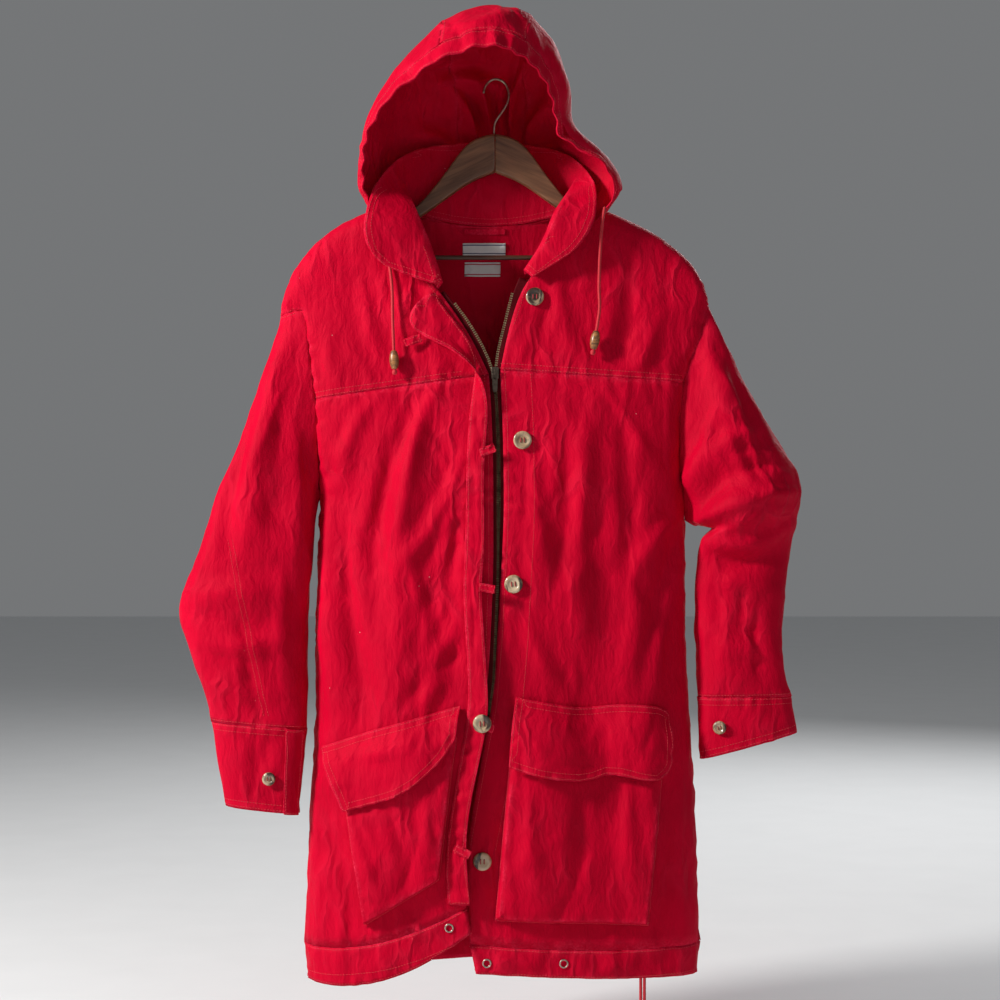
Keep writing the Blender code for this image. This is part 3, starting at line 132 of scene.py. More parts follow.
def lay_floor():
    mesh = bpy.data.meshes.new("floor")
    low = CAD_BOX[0][2] - FLOOR_GAP
    mesh.from_pydata([(x * FLOOR_HALF, y * FLOOR_HALF, low)
                      for x, y in ((-1, -1), (1, -1), (1, 1), (-1, 1))], [], [(0, 1, 2, 3)])
    finish = Finish("floor", (0.74, 0.75, 0.76), 0.75)
    grain = finish.noise(9.0, 3.0)
    finish.colour(finish.mix(grain, (0.72, 0.73, 0.74), (0.77, 0.78, 0.79)))
    mesh.materials.append(finish.material)
    show("floor", mesh)


# ---------------------------------------------------------------- finishes
class Finish:
    """A Principled material whose nodes are added by short calls."""

    def __init__(self, name, colour, roughness, metallic=0.0, **constants):
        self.material = bpy.data.materials.new(name)
        self.material.use_nodes = True
        self.tree = self.material.node_tree
        self.shader = self.tree.nodes["Principled BSDF"]
        self.shader.inputs["Base Color"].default_value = (*colour, 1)
        self.shader.inputs["Roughness"].default_value = roughness
        self.shader.inputs["Metallic"].default_value = metallic
        for socket, value in constants.items():
            self.shader.inputs[socket.replace("_", " ")].default_value = value

    def node(self, kind, **settings):
        made = self.tree.nodes.new(kind)
        for name, value in settings.items():
            setattr(made, name, value)
        return made

    def join(self, out, socket):
        self.tree.links.new(out, socket)

    def feed(self, socket, value):
        if isinstance(value, bpy.types.NodeSocket):
            self.join(value, socket)
        elif isinstance(value, tuple):
            socket.default_value = (*value, 1) if len(socket.default_value) == 4 else value
        else:
            socket.default_value = value

    def coordinates(self):
        """Object coordinates."""
        return self.node("ShaderNodeTexCoord").outputs["Object"]

    def place(self, turn=(0, 0, 0), stretch=(1, 1, 1), source=None):
        """Coordinates, turned and stretched."""
        mapping = self.node("ShaderNodeMapping")
        mapping.inputs["Rotation"].default_value = turn
        mapping.inputs["Scale"].default_value = stretch
        self.join(source or self.coordinates(), mapping.inputs["Vector"])
        return mapping.outputs["Vector"]

    def scaled(self, vector, size):
        made = self.node("ShaderNodeVectorMath", operation="SCALE")
        self.join(vector, made.inputs[0])
        self.join(size, made.inputs["Scale"])
        return made.outputs["Vector"]

    def noise(self, scale, detail=3.0, place=None, roughness=0.55, distortion=0.0):
        made = self.node("ShaderNodeTexNoise")
        made.inputs["Scale"].default_value = scale
        made.inputs["Detail"].default_value = detail
        made.inputs["Roughness"].default_value = roughness
        made.inputs["Distortion"].default_value = distortion
        self.join(place or self.place(), made.inputs["Vector"])
        return made.outputs["Fac"]

    def span(self, value, low, high, out_low=0.0, out_high=1.0):
        made = self.node("ShaderNodeMapRange")
        self.feed(made.inputs["Value"], value)
        for name, number in (("From Min", low), ("From Max", high), ("To Min", out_low),
                             ("To Max", out_high)):
            made.inputs[name].default_value = number
        return made.outputs["Result"]

    def math(self, kind, first, second=0.0):
        made = self.node("ShaderNodeMath", operation=kind)
        self.feed(made.inputs[0], first)
        self.feed(made.inputs[1], second)
        return made.outputs[0]

    def mix(self, share, first, second):
        made = self.node("ShaderNodeMix", data_type="RGBA")
        self.feed(made.inputs[0], share)
        self.feed(made.inputs[6], first)
        self.feed(made.inputs[7], second)
        return made.outputs[2]

    def group(self, tree, **inputs):
        made = self.node("ShaderNodeGroup", node_tree=tree)
        for name, value in inputs.items():
            self.feed(made.inputs[name.replace("_", " ")], value)
        return made.outputs

    def attribute(self, name):
        return self.node("ShaderNodeAttribute", attribute_name=name).outputs["Fac"]

    def bump(self, height, distance, strength=1.0, under=None):
        made = self.node("ShaderNodeBump")
        made.inputs["Distance"].default_value = distance
        made.inputs["Strength"].default_value = strength
        self.join(height, made.inputs["Height"])
        if under is not None:
            self.join(under, made.inputs["Normal"])
        return made.outputs["Normal"]

    def colour(self, value):
        self.feed(self.shader.inputs["Base Color"], value)

    def rough(self, value):
        self.feed(self.shader.inputs["Roughness"], value)

    def relief(self, normal):
        self.join(normal, self.shader.inputs["Normal"])


class Effect(Finish):
    """A shader node group with named inputs and outputs, built once for several finishes."""

    def __init__(self, name, inputs, outputs):
        self.tree = bpy.data.node_groups.new(name, "ShaderNodeTree")
        for label, (kind, value) in inputs.items():
            socket = self.tree.interface.new_socket(label, in_out="INPUT", socket_type=kind)
            socket.default_value = value
        for label, kind in outputs.items():
            self.tree.interface.new_socket(label, in_out="OUTPUT", socket_type=kind)
        self.given = self.tree.nodes.new("NodeGroupInput").outputs
        self.result = self.tree.nodes.new("NodeGroupOutput").inputs


NUMBER, TINT = "NodeSocketFloat", "NodeSocketColor"


def weave_effect():
    """Plain weave: warp and weft waves, from threads a metre and slubs."""
    effect = Effect("canvas weave", {"Threads": (NUMBER, 1400.0), "Slubs": (NUMBER, 0.5)},
                    {"Height": NUMBER, "Thread": NUMBER})
    split = effect.node("ShaderNodeSeparateXYZ")
    effect.join(effect.coordinates(), split.inputs[0])
    waves = []
    for axis, lean in (("X", 0.6), ("Z", -0.6)):
        way = effect.math("MULTIPLY_ADD", split.outputs["Y"], lean)
        effect.join(split.outputs[axis], way.node.inputs[2])
        turns = effect.math("MULTIPLY", way, effect.given["Threads"])
        waves.append(effect.math("SINE", effect.math("MULTIPLY", turns, math.pi)))
    plain = effect.math("MULTIPLY", *waves)
    streaks = effect.scaled(effect.place(stretch=(0.25, 0.25, 0.05)), effect.given["Threads"])
    slub = effect.noise(1.0, 2.0, streaks)
    effect.join(plain, effect.result["Thread"])
    height = effect.math("ADD", plain, effect.math("MULTIPLY", slub, effect.given["Slubs"]))
    effect.join(height, effect.result["Height"])
    return effect.tree


def crumple_effect():
    """The small sharp creases of washed cotton: ridged lines and soft dents."""
    effect = Effect("washed crumple", {"Scale": (NUMBER, 45.0), "Sharpness": (NUMBER, 1.0)},
                    {"Height": NUMBER, "Lines": NUMBER})
    place = effect.scaled(effect.coordinates(), effect.given["Scale"])
    bend = effect.node("ShaderNodeTexNoise")
    bend.inputs["Scale"].default_value, bend.inputs["Detail"].default_value = 0.7, 2.0
    effect.join(place, bend.inputs["Vector"])
    shift = effect.node("ShaderNodeVectorMath", operation="MULTIPLY_ADD")
    effect.join(bend.outputs["Color"], shift.inputs[0])
    shift.inputs[1].default_value = (0.8, 0.8, 0.8)
    effect.join(place, shift.inputs[2])
    lean = effect.place((0, 0.35, 0), (1.0, 1.0, 0.30), shift.outputs["Vector"])
    cells = effect.node("ShaderNodeTexVoronoi", feature="DISTANCE_TO_EDGE")
    cells.inputs["Scale"].default_value = 1.0
    effect.join(lean, cells.inputs["Vector"])
    lines = effect.span(cells.outputs["Distance"], 0.0, 0.16, 1.0, 0.0)
    patchy = effect.span(effect.noise(0.35, 1.0, place), 0.42, 0.66)
    sharp = effect.math("MULTIPLY", effect.math("MULTIPLY", lines, patchy),
                        effect.given["Sharpness"])
    soft = effect.noise(1.6, 3.0, lean, 0.6)
    effect.join(sharp, effect.result["Lines"])
    effect.join(effect.math("ADD", sharp, effect.math("MULTIPLY", soft, 2.2)),
                effect.result["Height"])
    return effect.tree


def fading_effect():
    """Dye worn pale along stitched edges and rubbed fold lines."""
    effect = Effect("seam fading",
                    {"Dye": (TINT, (0.5, 0.0, 0.0, 1)), "Faded": (TINT, (0.7, 0.1, 0.1, 1)),
                     "Seam": (NUMBER, 0.0), "Lines": (NUMBER, 0.0), "Wear": (NUMBER, 1.0)},
                    {"Color": TINT, "Rubbed": NUMBER})
    speckle = effect.span(effect.noise(520.0, 4.0), 0.40, 0.66)
    blotch = effect.span(effect.noise(60.0, 3.0), 0.30, 0.72)
    seam = effect.math("MULTIPLY", effect.given["Seam"], effect.math("MULTIPLY", speckle, blotch))
    lines = effect.math("MULTIPLY", effect.given["Lines"], 0.10)
    rubbed = effect.math("MULTIPLY", effect.math("ADD", seam, lines), effect.given["Wear"])
    rubbed = effect.math("MINIMUM", rubbed, 0.8)
    cloudy = effect.span(effect.noise(14.0, 3.0), 0.3, 0.7, 0.86, 1.06)
    shade = effect.scaled(effect.given["Dye"], cloudy)
    effect.join(effect.mix(rubbed, shade, effect.given["Faded"]), effect.result["Color"])
    effect.join(rubbed, effect.result["Rubbed"])
    return effect.tree


def lint_effect():
    """Sparse pale specks of lint and dust."""
    effect = Effect("lint", {"Amount": (NUMBER, 1.0)}, {"Mask": NUMBER})
    specks = effect.node("ShaderNodeTexVoronoi")
    specks.inputs["Scale"].default_value = 75.0
    effect.join(effect.place(stretch=(1, 1, 0.6)), specks.inputs["Vector"])
    near = effect.span(specks.outputs["Distance"], 0.020, 0.034, 1.0, 0.0)
    rare = effect.span(effect.noise(30.0, 1.0), 0.60, 0.64)
    mask = effect.math("MULTIPLY", effect.math("MULTIPLY", near, rare), effect.given["Amount"])
    effect.join(mask, effect.result["Mask"])
    return effect.tree


def grain_effect():
    """Wood grain that runs along X before it is turned."""
    effect = Effect("wood grain", {"Light": (TINT, (0.3, 0.1, 0.03, 1)),
                                   "Dark": (TINT, (0.1, 0.03, 0.01, 1)),
                                   "Turn": (NUMBER, 0.0), "Bands": (NUMBER, 1.0)},
                    {"Color": TINT, "Height": NUMBER})
    turned = effect.node("ShaderNodeVectorRotate", rotation_type="Y_AXIS")
    effect.join(effect.coordinates(), turned.inputs["Vector"])
    effect.join(effect.given["Turn"], turned.inputs["Angle"])
    long = effect.place(stretch=(7, 90, 90), source=turned.outputs["Vector"])
    long = effect.scaled(long, effect.given["Bands"])
    rings = effect.noise(1.0, 4.0, long, 0.55, 1.2)
    fine = effect.noise(7.0, 3.0, long)
    share = effect.span(effect.math("ADD", rings, effect.math("MULTIPLY", fine, 0.3)), 0.45, 0.86)
    effect.join(effect.mix(share, effect.given["Light"], effect.given["Dark"]),
                effect.result["Color"])
    effect.join(fine, effect.result["Height"])
    return effect.tree


WEAVE, CRUMPLE, FADING = weave_effect(), crumple_effect(), fading_effect()
LINT, GRAIN = lint_effect(), grain_effect()

RED, RED_FADED = (0.58, 0.0002, 0.023), (0.76, 0.030, 0.080)


def red_canvas(name, dye=RED, faded=RED_FADED, wear=1.0, crumple=1.0, lint=1.0):
    """Washed red cotton canvas."""
    finish = Finish(name, dye, 0.62, Specular_IOR_Level=0.04)
    weave = finish.group(WEAVE, Threads=1250.0, Slubs=0.6)
    dents = finish.group(CRUMPLE, Scale=42.0, Sharpness=1.0)
    fading = finish.group(FADING, Dye=dye, Faded=faded,
                          Seam=finish.attribute("seam_near"), Lines=dents["Lines"], Wear=wear)
    specks = finish.group(LINT, Amount=lint)
    finish.colour(finish.mix(specks["Mask"], fading["Color"], (0.72, 0.42, 0.40)))
    finish.rough(finish.span(fading["Rubbed"], 0.0, 0.6, 0.56, 0.80))
    folds = finish.bump(dents["Height"], 0.0014 * crumple, 0.9)
    finish.relief(finish.bump(weave["Height"], 0.00016, 0.55, folds))
    return finish.material


def plain_red(name, colour, roughness, scale):
    """Twisted or braided red yarn."""
    finish = Finish(name, colour, roughness, Sheen_Weight=0.12, Specular_IOR_Level=0.3)
    fibres = finish.noise(scale, 4.0)
    pale = tuple(min(1, c * 1.5 + 0.03) for c in colour)
    finish.colour(finish.mix(fibres, tuple(c * 0.72 for c in colour), pale))
    finish.relief(finish.bump(fibres, 0.0003, 0.6))
    return finish.material


def wood(name, light, dark, turn, roughness, bands=1.0):
    finish = Finish(name, light, roughness, Coat_Weight=0.25, Coat_Roughness=0.3,
                    Specular_IOR_Level=0.4)
    grain = finish.group(GRAIN, Light=light, Dark=dark, Turn=turn, Bands=bands)
    finish.colour(grain["Color"])
    finish.rough(finish.span(grain["Height"], 0.3, 0.7, roughness - 0.08, roughness + 0.12))
    finish.relief(finish.bump(grain["Height"], 0.0002, 0.5))
    return finish.material


def metal(name, colour, roughness, tarnish):
    finish = Finish(name, colour, roughness, 1.0)
    spots = finish.noise(240.0, 4.0)
    worn = finish.span(spots, 0.45, 0.7)
    finish.colour(finish.mix(worn, colour, tarnish))
    finish.rough(finish.span(spots, 0.3, 0.7, roughness - 0.06, roughness + 0.18))
    finish.relief(finish.bump(spots, 0.00008, 0.4))
    return finish.material


def horn(name):
    """Polished horn: cream clouds and brown streaks."""
    finish = Finish(name, (0.5, 0.36, 0.2), 0.24, Coat_Weight=0.5, Coat_Roughness=0.12)
    streaks = finish.noise(80.0, 3.0, finish.place((0.3, 0.9, 0.2), (1, 1, 0.4)), 0.5, 1.1)
    clouds = finish.noise(38.0, 2.0)
    cream = finish.mix(finish.span(clouds, 0.35, 0.62), (0.62, 0.50, 0.34), (0.34, 0.20, 0.10))
    finish.colour(finish.mix(finish.span(streaks, 0.47, 0.57), cream, (0.045, 0.024, 0.015)))
    finish.rough(finish.span(streaks, 0.3, 0.7, 0.2, 0.34))
    return finish.material


BORDER = 2.2 * MM       # from a label's long edges to its stripes


def woven_label(name, ground, stripe, low, high):
    """A blank woven label with two plain border stripes."""
    finish = Finish(name, ground, 0.55, Sheen_Weight=0.15)
    split = finish.node("ShaderNodeSeparateXYZ")
    finish.join(finish.place(), split.inputs[0])
    borders = []
    for edge in (low + BORDER, high - BORDER):
        away = finish.math("ABSOLUTE", finish.math("SUBTRACT", split.outputs["Z"], edge))
        borders.append(finish.span(away, 0.0005, 0.0008, 1.0, 0.0))
    weave = finish.group(WEAVE, Threads=2600.0, Slubs=0.4)
    mask = finish.math("MAXIMUM", *borders)
    finish.colour(finish.mix(mask, finish.mix(finish.noise(90.0), ground,
                                              tuple(c * 0.86 for c in ground)), stripe))
    finish.relief(finish.bump(weave["Height"], 0.00012, 0.7))
    return finish.material


# ---------------------------------------------------------------- cloth forms
def metres(rows):
    """Rows of millimetres as an array of metres."""
    return np.array(rows, float) * MM


def ease(share):
    share = np.clip(share, 0, 1)
    return share * share * (3 - 2 * share)


BODY_AXIS = [(-150, 5, -600), (150, 5, -600)]
SLEEVE_AXES = {
    LEFT: [(-222, -8, -300), (-262, -8, -450), (-287, -10, -590), (-268, -16, -735),
           (-266, -18, -835)],
    RIGHT: [(228, -8, -300), (265, -5, -390), (272, -16, -480), (283, -8, -560),
            (285, -8, -690), (288, -10, -790)],
}
HOOD_AXIS = [(-8, -25, -190), (-8, -25, -20)]


def off_line(line, points):
    """Each point's offset and distance from the nearest place on a line."""
    best, found = np.full(len(points), np.inf), np.zeros_like(points)
    for start, end in zip(line[:-1], line[1:]):
        way = end - start
        share = np.clip((points - start) @ way / (way @ way), 0, 1)
        off = points - start - share[:, None] * way
        far = np.linalg.norm(off, axis=1)
        nearer = far < best
        best[nearer], found[nearer] = far[nearer], off[nearer]
    return found, best


def away_from(line, points, flat=False, softest=12):
    """Directions away from a line of places, which fade to nothing close to it."""
    line = np.array(line, float) * MM
    if flat:
        line[:, 2] = 0
        points = points * (1, 1, 0)
    off, far = off_line(line, points)
    return off / np.maximum(far, softest * MM)[:, None]


def body_way(points):
    return away_from(BODY_AXIS, points, flat=True)


def hood_way(points):
    return away_from(HOOD_AXIS, points, softest=20)


def collar_way(points):
    return away_from([(-12, 40, -200), (-12, 40, -100)], points, softest=20)


def sleeve_way(side):
    return lambda points: away_from(SLEEVE_AXES[side], points, softest=10)


# Listed creases: where each starts and ends (x, z), how far it bows aside, its half
# width and how far it stands out (a trough is negative).
BODY_FRONT = metres([
    # left yoke and left front
    (-150, -235, -120, -330, 6, 9, 2.2), (-95, -215, -80, -300, -5, 8, -2.0),
    (-185, -290, -165, -380, 8, 10, 2.4), (-60, -330, -105, -540, 14, 13, 4.0),
    (-75, -345, -130, -620, 20, 10, -3.2), (-30, -415, -110, -560, -10, 8, 3.0),
    (-25, -430, -85, -620, -14, 9, -2.6), (-20, -590, -80, -720, 10, 9, 2.8),
    (-25, -640, -115, -740, 12, 8, -2.4), (-190, -470, -160, -740, 12, 14, 3.6),
    (-170, -520, -135, -730, 8, 10, -3.0), (-195, -600, -172, -760, 5, 9, 2.4),
    (-120, -420, -150, -560, -8, 10, -2.2), (-140, -370, -175, -460, 6, 9, 2.4),
    (-45, -480, -60, -640, 6, 8, 2.0), (-90, -560, -70, -700, -6, 9, 2.2),
    (-205, -800, -190, -990, 6, 10, 3.0), (-195, -830, -150, -985, -6, 9, -2.6),
    (-130, -940, -120, -1015, 3, 9, 2.4), (-95, -930, -70, -990, 3, 8, -2.0),
    (-170, -950, -172, -1020, 3, 8, 2.2), (-205, -700, -206, -790, 3, 8, -2.0),
    # right yoke and right front
    (70, -215, 92, -320, 6, 9, 2.2), (150, -215, 135, -330, -6, 10, -2.2),
    (185, -270, 165, -350, 6, 9, 2.2), (60, -245, 40, -330, -4, 7, -1.6),
    (110, -370, 105, -700, 12, 15, 4.0), (140, -380, 150, -640, -8, 12, -3.4),
    (80, -400, 62, -600, -8, 10, -2.8), (45, -430, 60, -560, 5, 8, 2.4),
    (205, -500, 150, -600, 12, 10, 3.2), (212, -520, 175, -700, 14, 10, -3.0),
    (35, -590, 70, -690, 8, 8, 2.4), (25, -500, 45, -640, 5, 7, -1.8),
    (190, -620, 178, -720, 4, 9, 2.6), (208, -800, 214, -1000, 6, 9, 3.0),
    (200, -850, 190, -1010, 6, 9, -2.8), (140, -960, 132, -1020, 3, 9, 2.2),
    (60, -965, 66, -1020, 3, 8, -2.0), (20, -960, 10, -1005, 3, 7, 2.0),
    (100, -968, 104, -1020, 3, 8, 1.8), (170, -970, 168, -1020, 3, 7, -1.8),
    # pockets
    (-160, -840, -120, -930, 6, 9, 2.6), (-120, -820, -95, -920, -6, 8, -2.2),
    (-75, -810, -70, -880, 4, 8, 2.2), (40, -810, 52, -930, 6, 10, 2.6),
    (95, -800, 88, -900, -5, 9, -2.2), (150, -800, 158, -920, 5, 9, 2.4),
])
BODY_BACK = metres([
    (-150, -230, -120, -400, 8, 12, 2.8), (-60, -220, -72, -420, -8, 14, -2.6),
    (40, -215, 52, -400, 6, 13, 2.6), (140, -240, 120, -420, 8, 12, -2.6),
    (-190, -480, -130, -640, 12, 12, 3.4), (200, -500, 140, -660, -12, 12, 3.4),
    (-110, -520, -150, -900, 16, 16, 3.6), (0, -480, 18, -880, -14, 16, -3.2),
    (90, -520, 128, -920, 12, 15, 3.6), (-40, -600, -62, -980, 8, 13, 3.0),
    (60, -700, 48, -1000, 6, 12, -2.8), (-180, -800, -190, -1000, 6, 11, 3.0),
    (190, -780, 200, -1000, 6, 11, -3.0), (150, -880, 160, -1010, 4, 10, 2.4),
    (-100, -900, -92, -1010, 4, 10, -2.4),
])
SLEEVES_FRONT = metres([
    (-238, -300, -275, -500, 8, 12, 3.6), (-262, -360, -305, -560, 8, 10, -3.0),
    (-225, -400, -232, -560, -5, 10, 2.8), (-345, -590, -240, -600, -12, 10, 4.2),
    (-348, -612, -250, -640, -10, 9, -3.6), (-335, -640, -225, -630, 10, 9, 3.4),
    (-318, -520, -232, -560, 10, 9, -2.8), (-300, -470, -225, -520, 8, 9, 2.8),
    (-325, -680, -245, -700, 6, 8, 2.4), (-280, -640, -262, -720, 4, 8, -2.4),
    (-240, -560, -235, -690, 5, 8, 2.2), (-290, -400, -318, -540, 5, 8, 2.0),
    (235, -300, 262, -430, -8, 12, 3.6), (300, -400, 215, -470, 14, 10, 4.6),
    (322, -440, 218, -495, 16, 10, -4.4), (335, -470, 228, -512, 12, 9, 5.0),
    (270, -330, 315, -430, 6, 9, -3.0), (250, -380, 230, -470, 5, 8, 2.8),
    (262, -410, 300, -470, 6, 7, 2.4), (345, -505, 240, -530, -10, 9, 4.0),
    (335, -540, 232, -545, -8, 8, -3.4), (325, -590, 236, -575, 8, 9, 3.0),
    (318, -630, 240, -610, -6, 8, -2.4), (328, -660, 250, -650, 6, 8, 2.6),
    (270, -560, 262, -690, 4, 9, 2.6), (300, -590, 305, -690, 5, 8, -2.2),
])
SLEEVES_BACK = metres([
    (-250, -330, -290, -520, 8, 12, 3.4), (-330, -560, -225, -600, 12, 10, 4.0),
    (-345, -610, -235, -640, -10, 9, -3.4), (-320, -660, -230, -690, 8, 9, 3.0),
    (260, -320, 300, -430, 6, 11, 3.4), (335, -450, 230, -500, 14, 10, 4.2),
    (340, -500, 235, -530, -10, 9, -3.6), (325, -570, 235, -580, 8, 9, 3.2),
    (320, -640, 245, -630, -6, 9, 2.6),
])
HOOD_BACK = metres([
    # the crown folded over the hook
    (-74, 12, 8, 12, -9, 8, 4.6), (-72, 0, 6, 1, -9, 5, -4.6),
    # gathers that spread from the hanger's neck
    (-25, -58, -60, 2, 6, 6, -5.4), (-12, -54, -42, -4, 5, 8, 5.0), (-6, -50, -22, 4, 4, 5, -5.0),
    (-1, -50, -9, -4, 2, 4, 3.4), (8, -52, 18, 26, -3, 4, -4.6), (13, -52, 26, 30, -4, 5, 4.6),
    (19, -54, 38, 24, -5, 6, -5.4), (26, -58, 56, 8, -6, 9, 5.0), (36, -66, 68, -24, -4, 6, -4.4),
    (46, -76, 84, -48, -4, 9, 4.0), (-34, -66, -86, -32, 6, 9, 4.6),
    (-44, -78, -98, -60, 5, 8, -4.0), (-10, -64, -54, -122, -6, 8, 3.0),
    (12, -64, 50, -118, 6, 8, 3.0), (2, -66, 0, -132, 4, 8, -2.6), (-20, 30, -70, 40, 6, 8, 3.0),
    (30, 36, 70, 20, -6, 8, 3.0),
])
HOOD_FRONT = metres([
    (-120, -100, -60, 20, 14, 10, 3.0), (-100, -130, -95, -20, 8, 9, -2.6),
    (-40, 40, 30, 66, 8, 8, 2.6), (60, 30, 100, -40, 8, 9, 2.8),
    (100, -80, 125, -140, 6, 8, -2.6), (85, -60, 118, -120, -6, 8, 2.6),
])
COLLAR_FRONT = metres([
    (-120, -130, -95, -210, 5, 8, 1.4), (-95, -110, -80, -190, -5, 8, -1.2),
    (80, -120, 66, -200, 5, 8, 1.4), (105, -130, 92, -190, 5, 8, -1.2),
])


def creases(rows, points):
    """Listed creases as metres out from the surface."""
    out = np.zeros(len(points))
    x, z = points[:, 0], points[:, 2]
    for start_x, start_z, end_x, end_z, bow, half_width, height in rows:
        start = np.array([start_x, start_z])
        way = np.array([end_x, end_z]) - start
        length = np.linalg.norm(way)
        way /= length
        along = ((x - start[0]) * way[0] + (z - start[1]) * way[1]) / length
        aside = (x - start[0]) * way[1] - (z - start[1]) * way[0]
        inside = np.clip(along, 0, 1)
        aside = aside - bow * 4 * inside * (1 - inside)
        far = np.hypot(aside, (along - inside) * length)
        far = far / (half_width * (0.7 + 0.6 * inside))
        taper = np.sqrt(np.clip(np.sin(np.pi * np.clip(along, 0.04, 0.96)), 0, 1))
        out += height * taper * (np.exp(-far ** 2) - 0.3 * np.exp(-(far - 1.9) ** 2))
    return out


def scattered(low, seed):
    value = np.sin(low @ (127.1, 311.7, 74.7) + seed * 53.3) * 43758.5453
    return value - np.floor(value)


def noise(points, size, seed):
    """Smooth noise from -1 to 1, with cells of that size along x, y and z."""
    cell = points / np.array(size)
    low = np.floor(cell)
    part = ease(cell - low)
    total = np.zeros(len(points))
    for corner in np.ndindex(2, 2, 2):
        corner = np.array(corner, float)
        weight = np.prod(np.where(corner == 1, part, 1 - part), axis=1)
        total += weight * scattered(low + corner, seed)
    return 2 * total - 1


def crease_lines(points, size, seed, narrow):
    """Wandering crease lines that rise, sink and die out."""
    line = np.exp(-(noise(points, size, seed) / narrow) ** 2)
    return line * noise(points, [1.7 * s for s in size], seed + 40)


def crumple(points, seed=0):
    """The uneven folds of washed cotton that hangs, as metres out from the surface."""
    bent = points + 0.014 * np.stack([noise(points, (0.07,) * 3, seed + i) for i in (1, 2, 3)],
                                     axis=1)
    slanted, leaning = bent.copy(), bent.copy()
    slanted[:, 0] += 0.55 * bent[:, 2]
    leaning[:, 0] -= 0.35 * bent[:, 2]
    out = 3.0 * noise(slanted, (0.050, 0.08, 0.20), seed + 4)
    out += 3.4 * crease_lines(slanted, (0.040, 0.06, 0.12), seed + 5, 0.17)
    out += 2.8 * crease_lines(leaning, (0.034, 0.06, 0.09), seed + 6, 0.18)
    out += 1.8 * crease_lines(bent, (0.019, 0.04, 0.055), seed + 7, 0.24)
    out += 0.35 * noise(bent, (0.012, 0.03, 0.020), seed + 8)
    return out * MM


# Hard pieces and cords that the cloth keeps still beneath: x, z, and how wide.
STILL = metres([
    (0, -337, 14), (45, -251, 17), (31, -413, 17), (21, -574, 17), (-14, -728, 17),
    (-14, -884, 17), (-249, -791, 13), (238, -748, 13), (-9, -998, 10), (77, -999, 10),
    (-51, -957, 10), (166, -1018, 10), (123, -151, 12), (-112, -330, 14), (115, -302, 14),
])
# Cord routes, beneath which no fold stands up.
HANG_LINES = [[(-120, -205), (-115, -275), (-113, -345)],
              [(120, -174), (117, -240), (114, -320)]]


def from_line(line, points):
    """Distance in x and z from a line of places in millimetres."""
    return off_line(np.array(line, float) * MM, points[:, [0, 2]])[1]


# ---------------------------------------------------------------- cloth pieces
def merged_form(node, flat, sharp, crease):
    """A solid's mesh merged to quads, its edges over sharp degrees held at crease."""
    form = bmesh.new()
    form.from_mesh(frame["nodes"][node].data)
    bmesh.ops.remove_doubles(form, verts=form.verts, dist=MERGE)
    bmesh.ops.join_triangles(form, faces=form.faces, angle_face_threshold=math.radians(flat),
                             angle_shape_threshold=math.radians(140))
    held = form.edges.layers.float.new("crease_edge")
    for edge in form.edges:
        if len(edge.link_faces) == 2 and edge.calc_face_angle() > math.radians(sharp):
            edge[held] = crease
    return form, held


def smoothed(form, name, levels):
    """The form subdivided, as a plain mesh. The form is freed."""
    mesh = bpy.data.meshes.new(name)
    form.to_mesh(mesh)
    form.free()
    rough = show(name, mesh)
    smooth = rough.modifiers.new("smooth", "SUBSURF")
    smooth.levels = smooth.render_levels = levels
    fine = plain_mesh(rough)
    fine.name = name
    return fine


def plain_mesh(made):
    """An object's mesh with its modifiers applied. The object and its own mesh go."""
    depsgraph = bpy.context.evaluated_depsgraph_get()
    mesh, old = bpy.data.meshes.new_from_object(made.evaluated_get(depsgraph)), made.data
    bpy.data.objects.remove(made)
    bpy.data.meshes.remove(old)
    return mesh


MERGE = 1e-6
THICKEST = 3.4 * MM      # an edge shorter than this runs through the wall


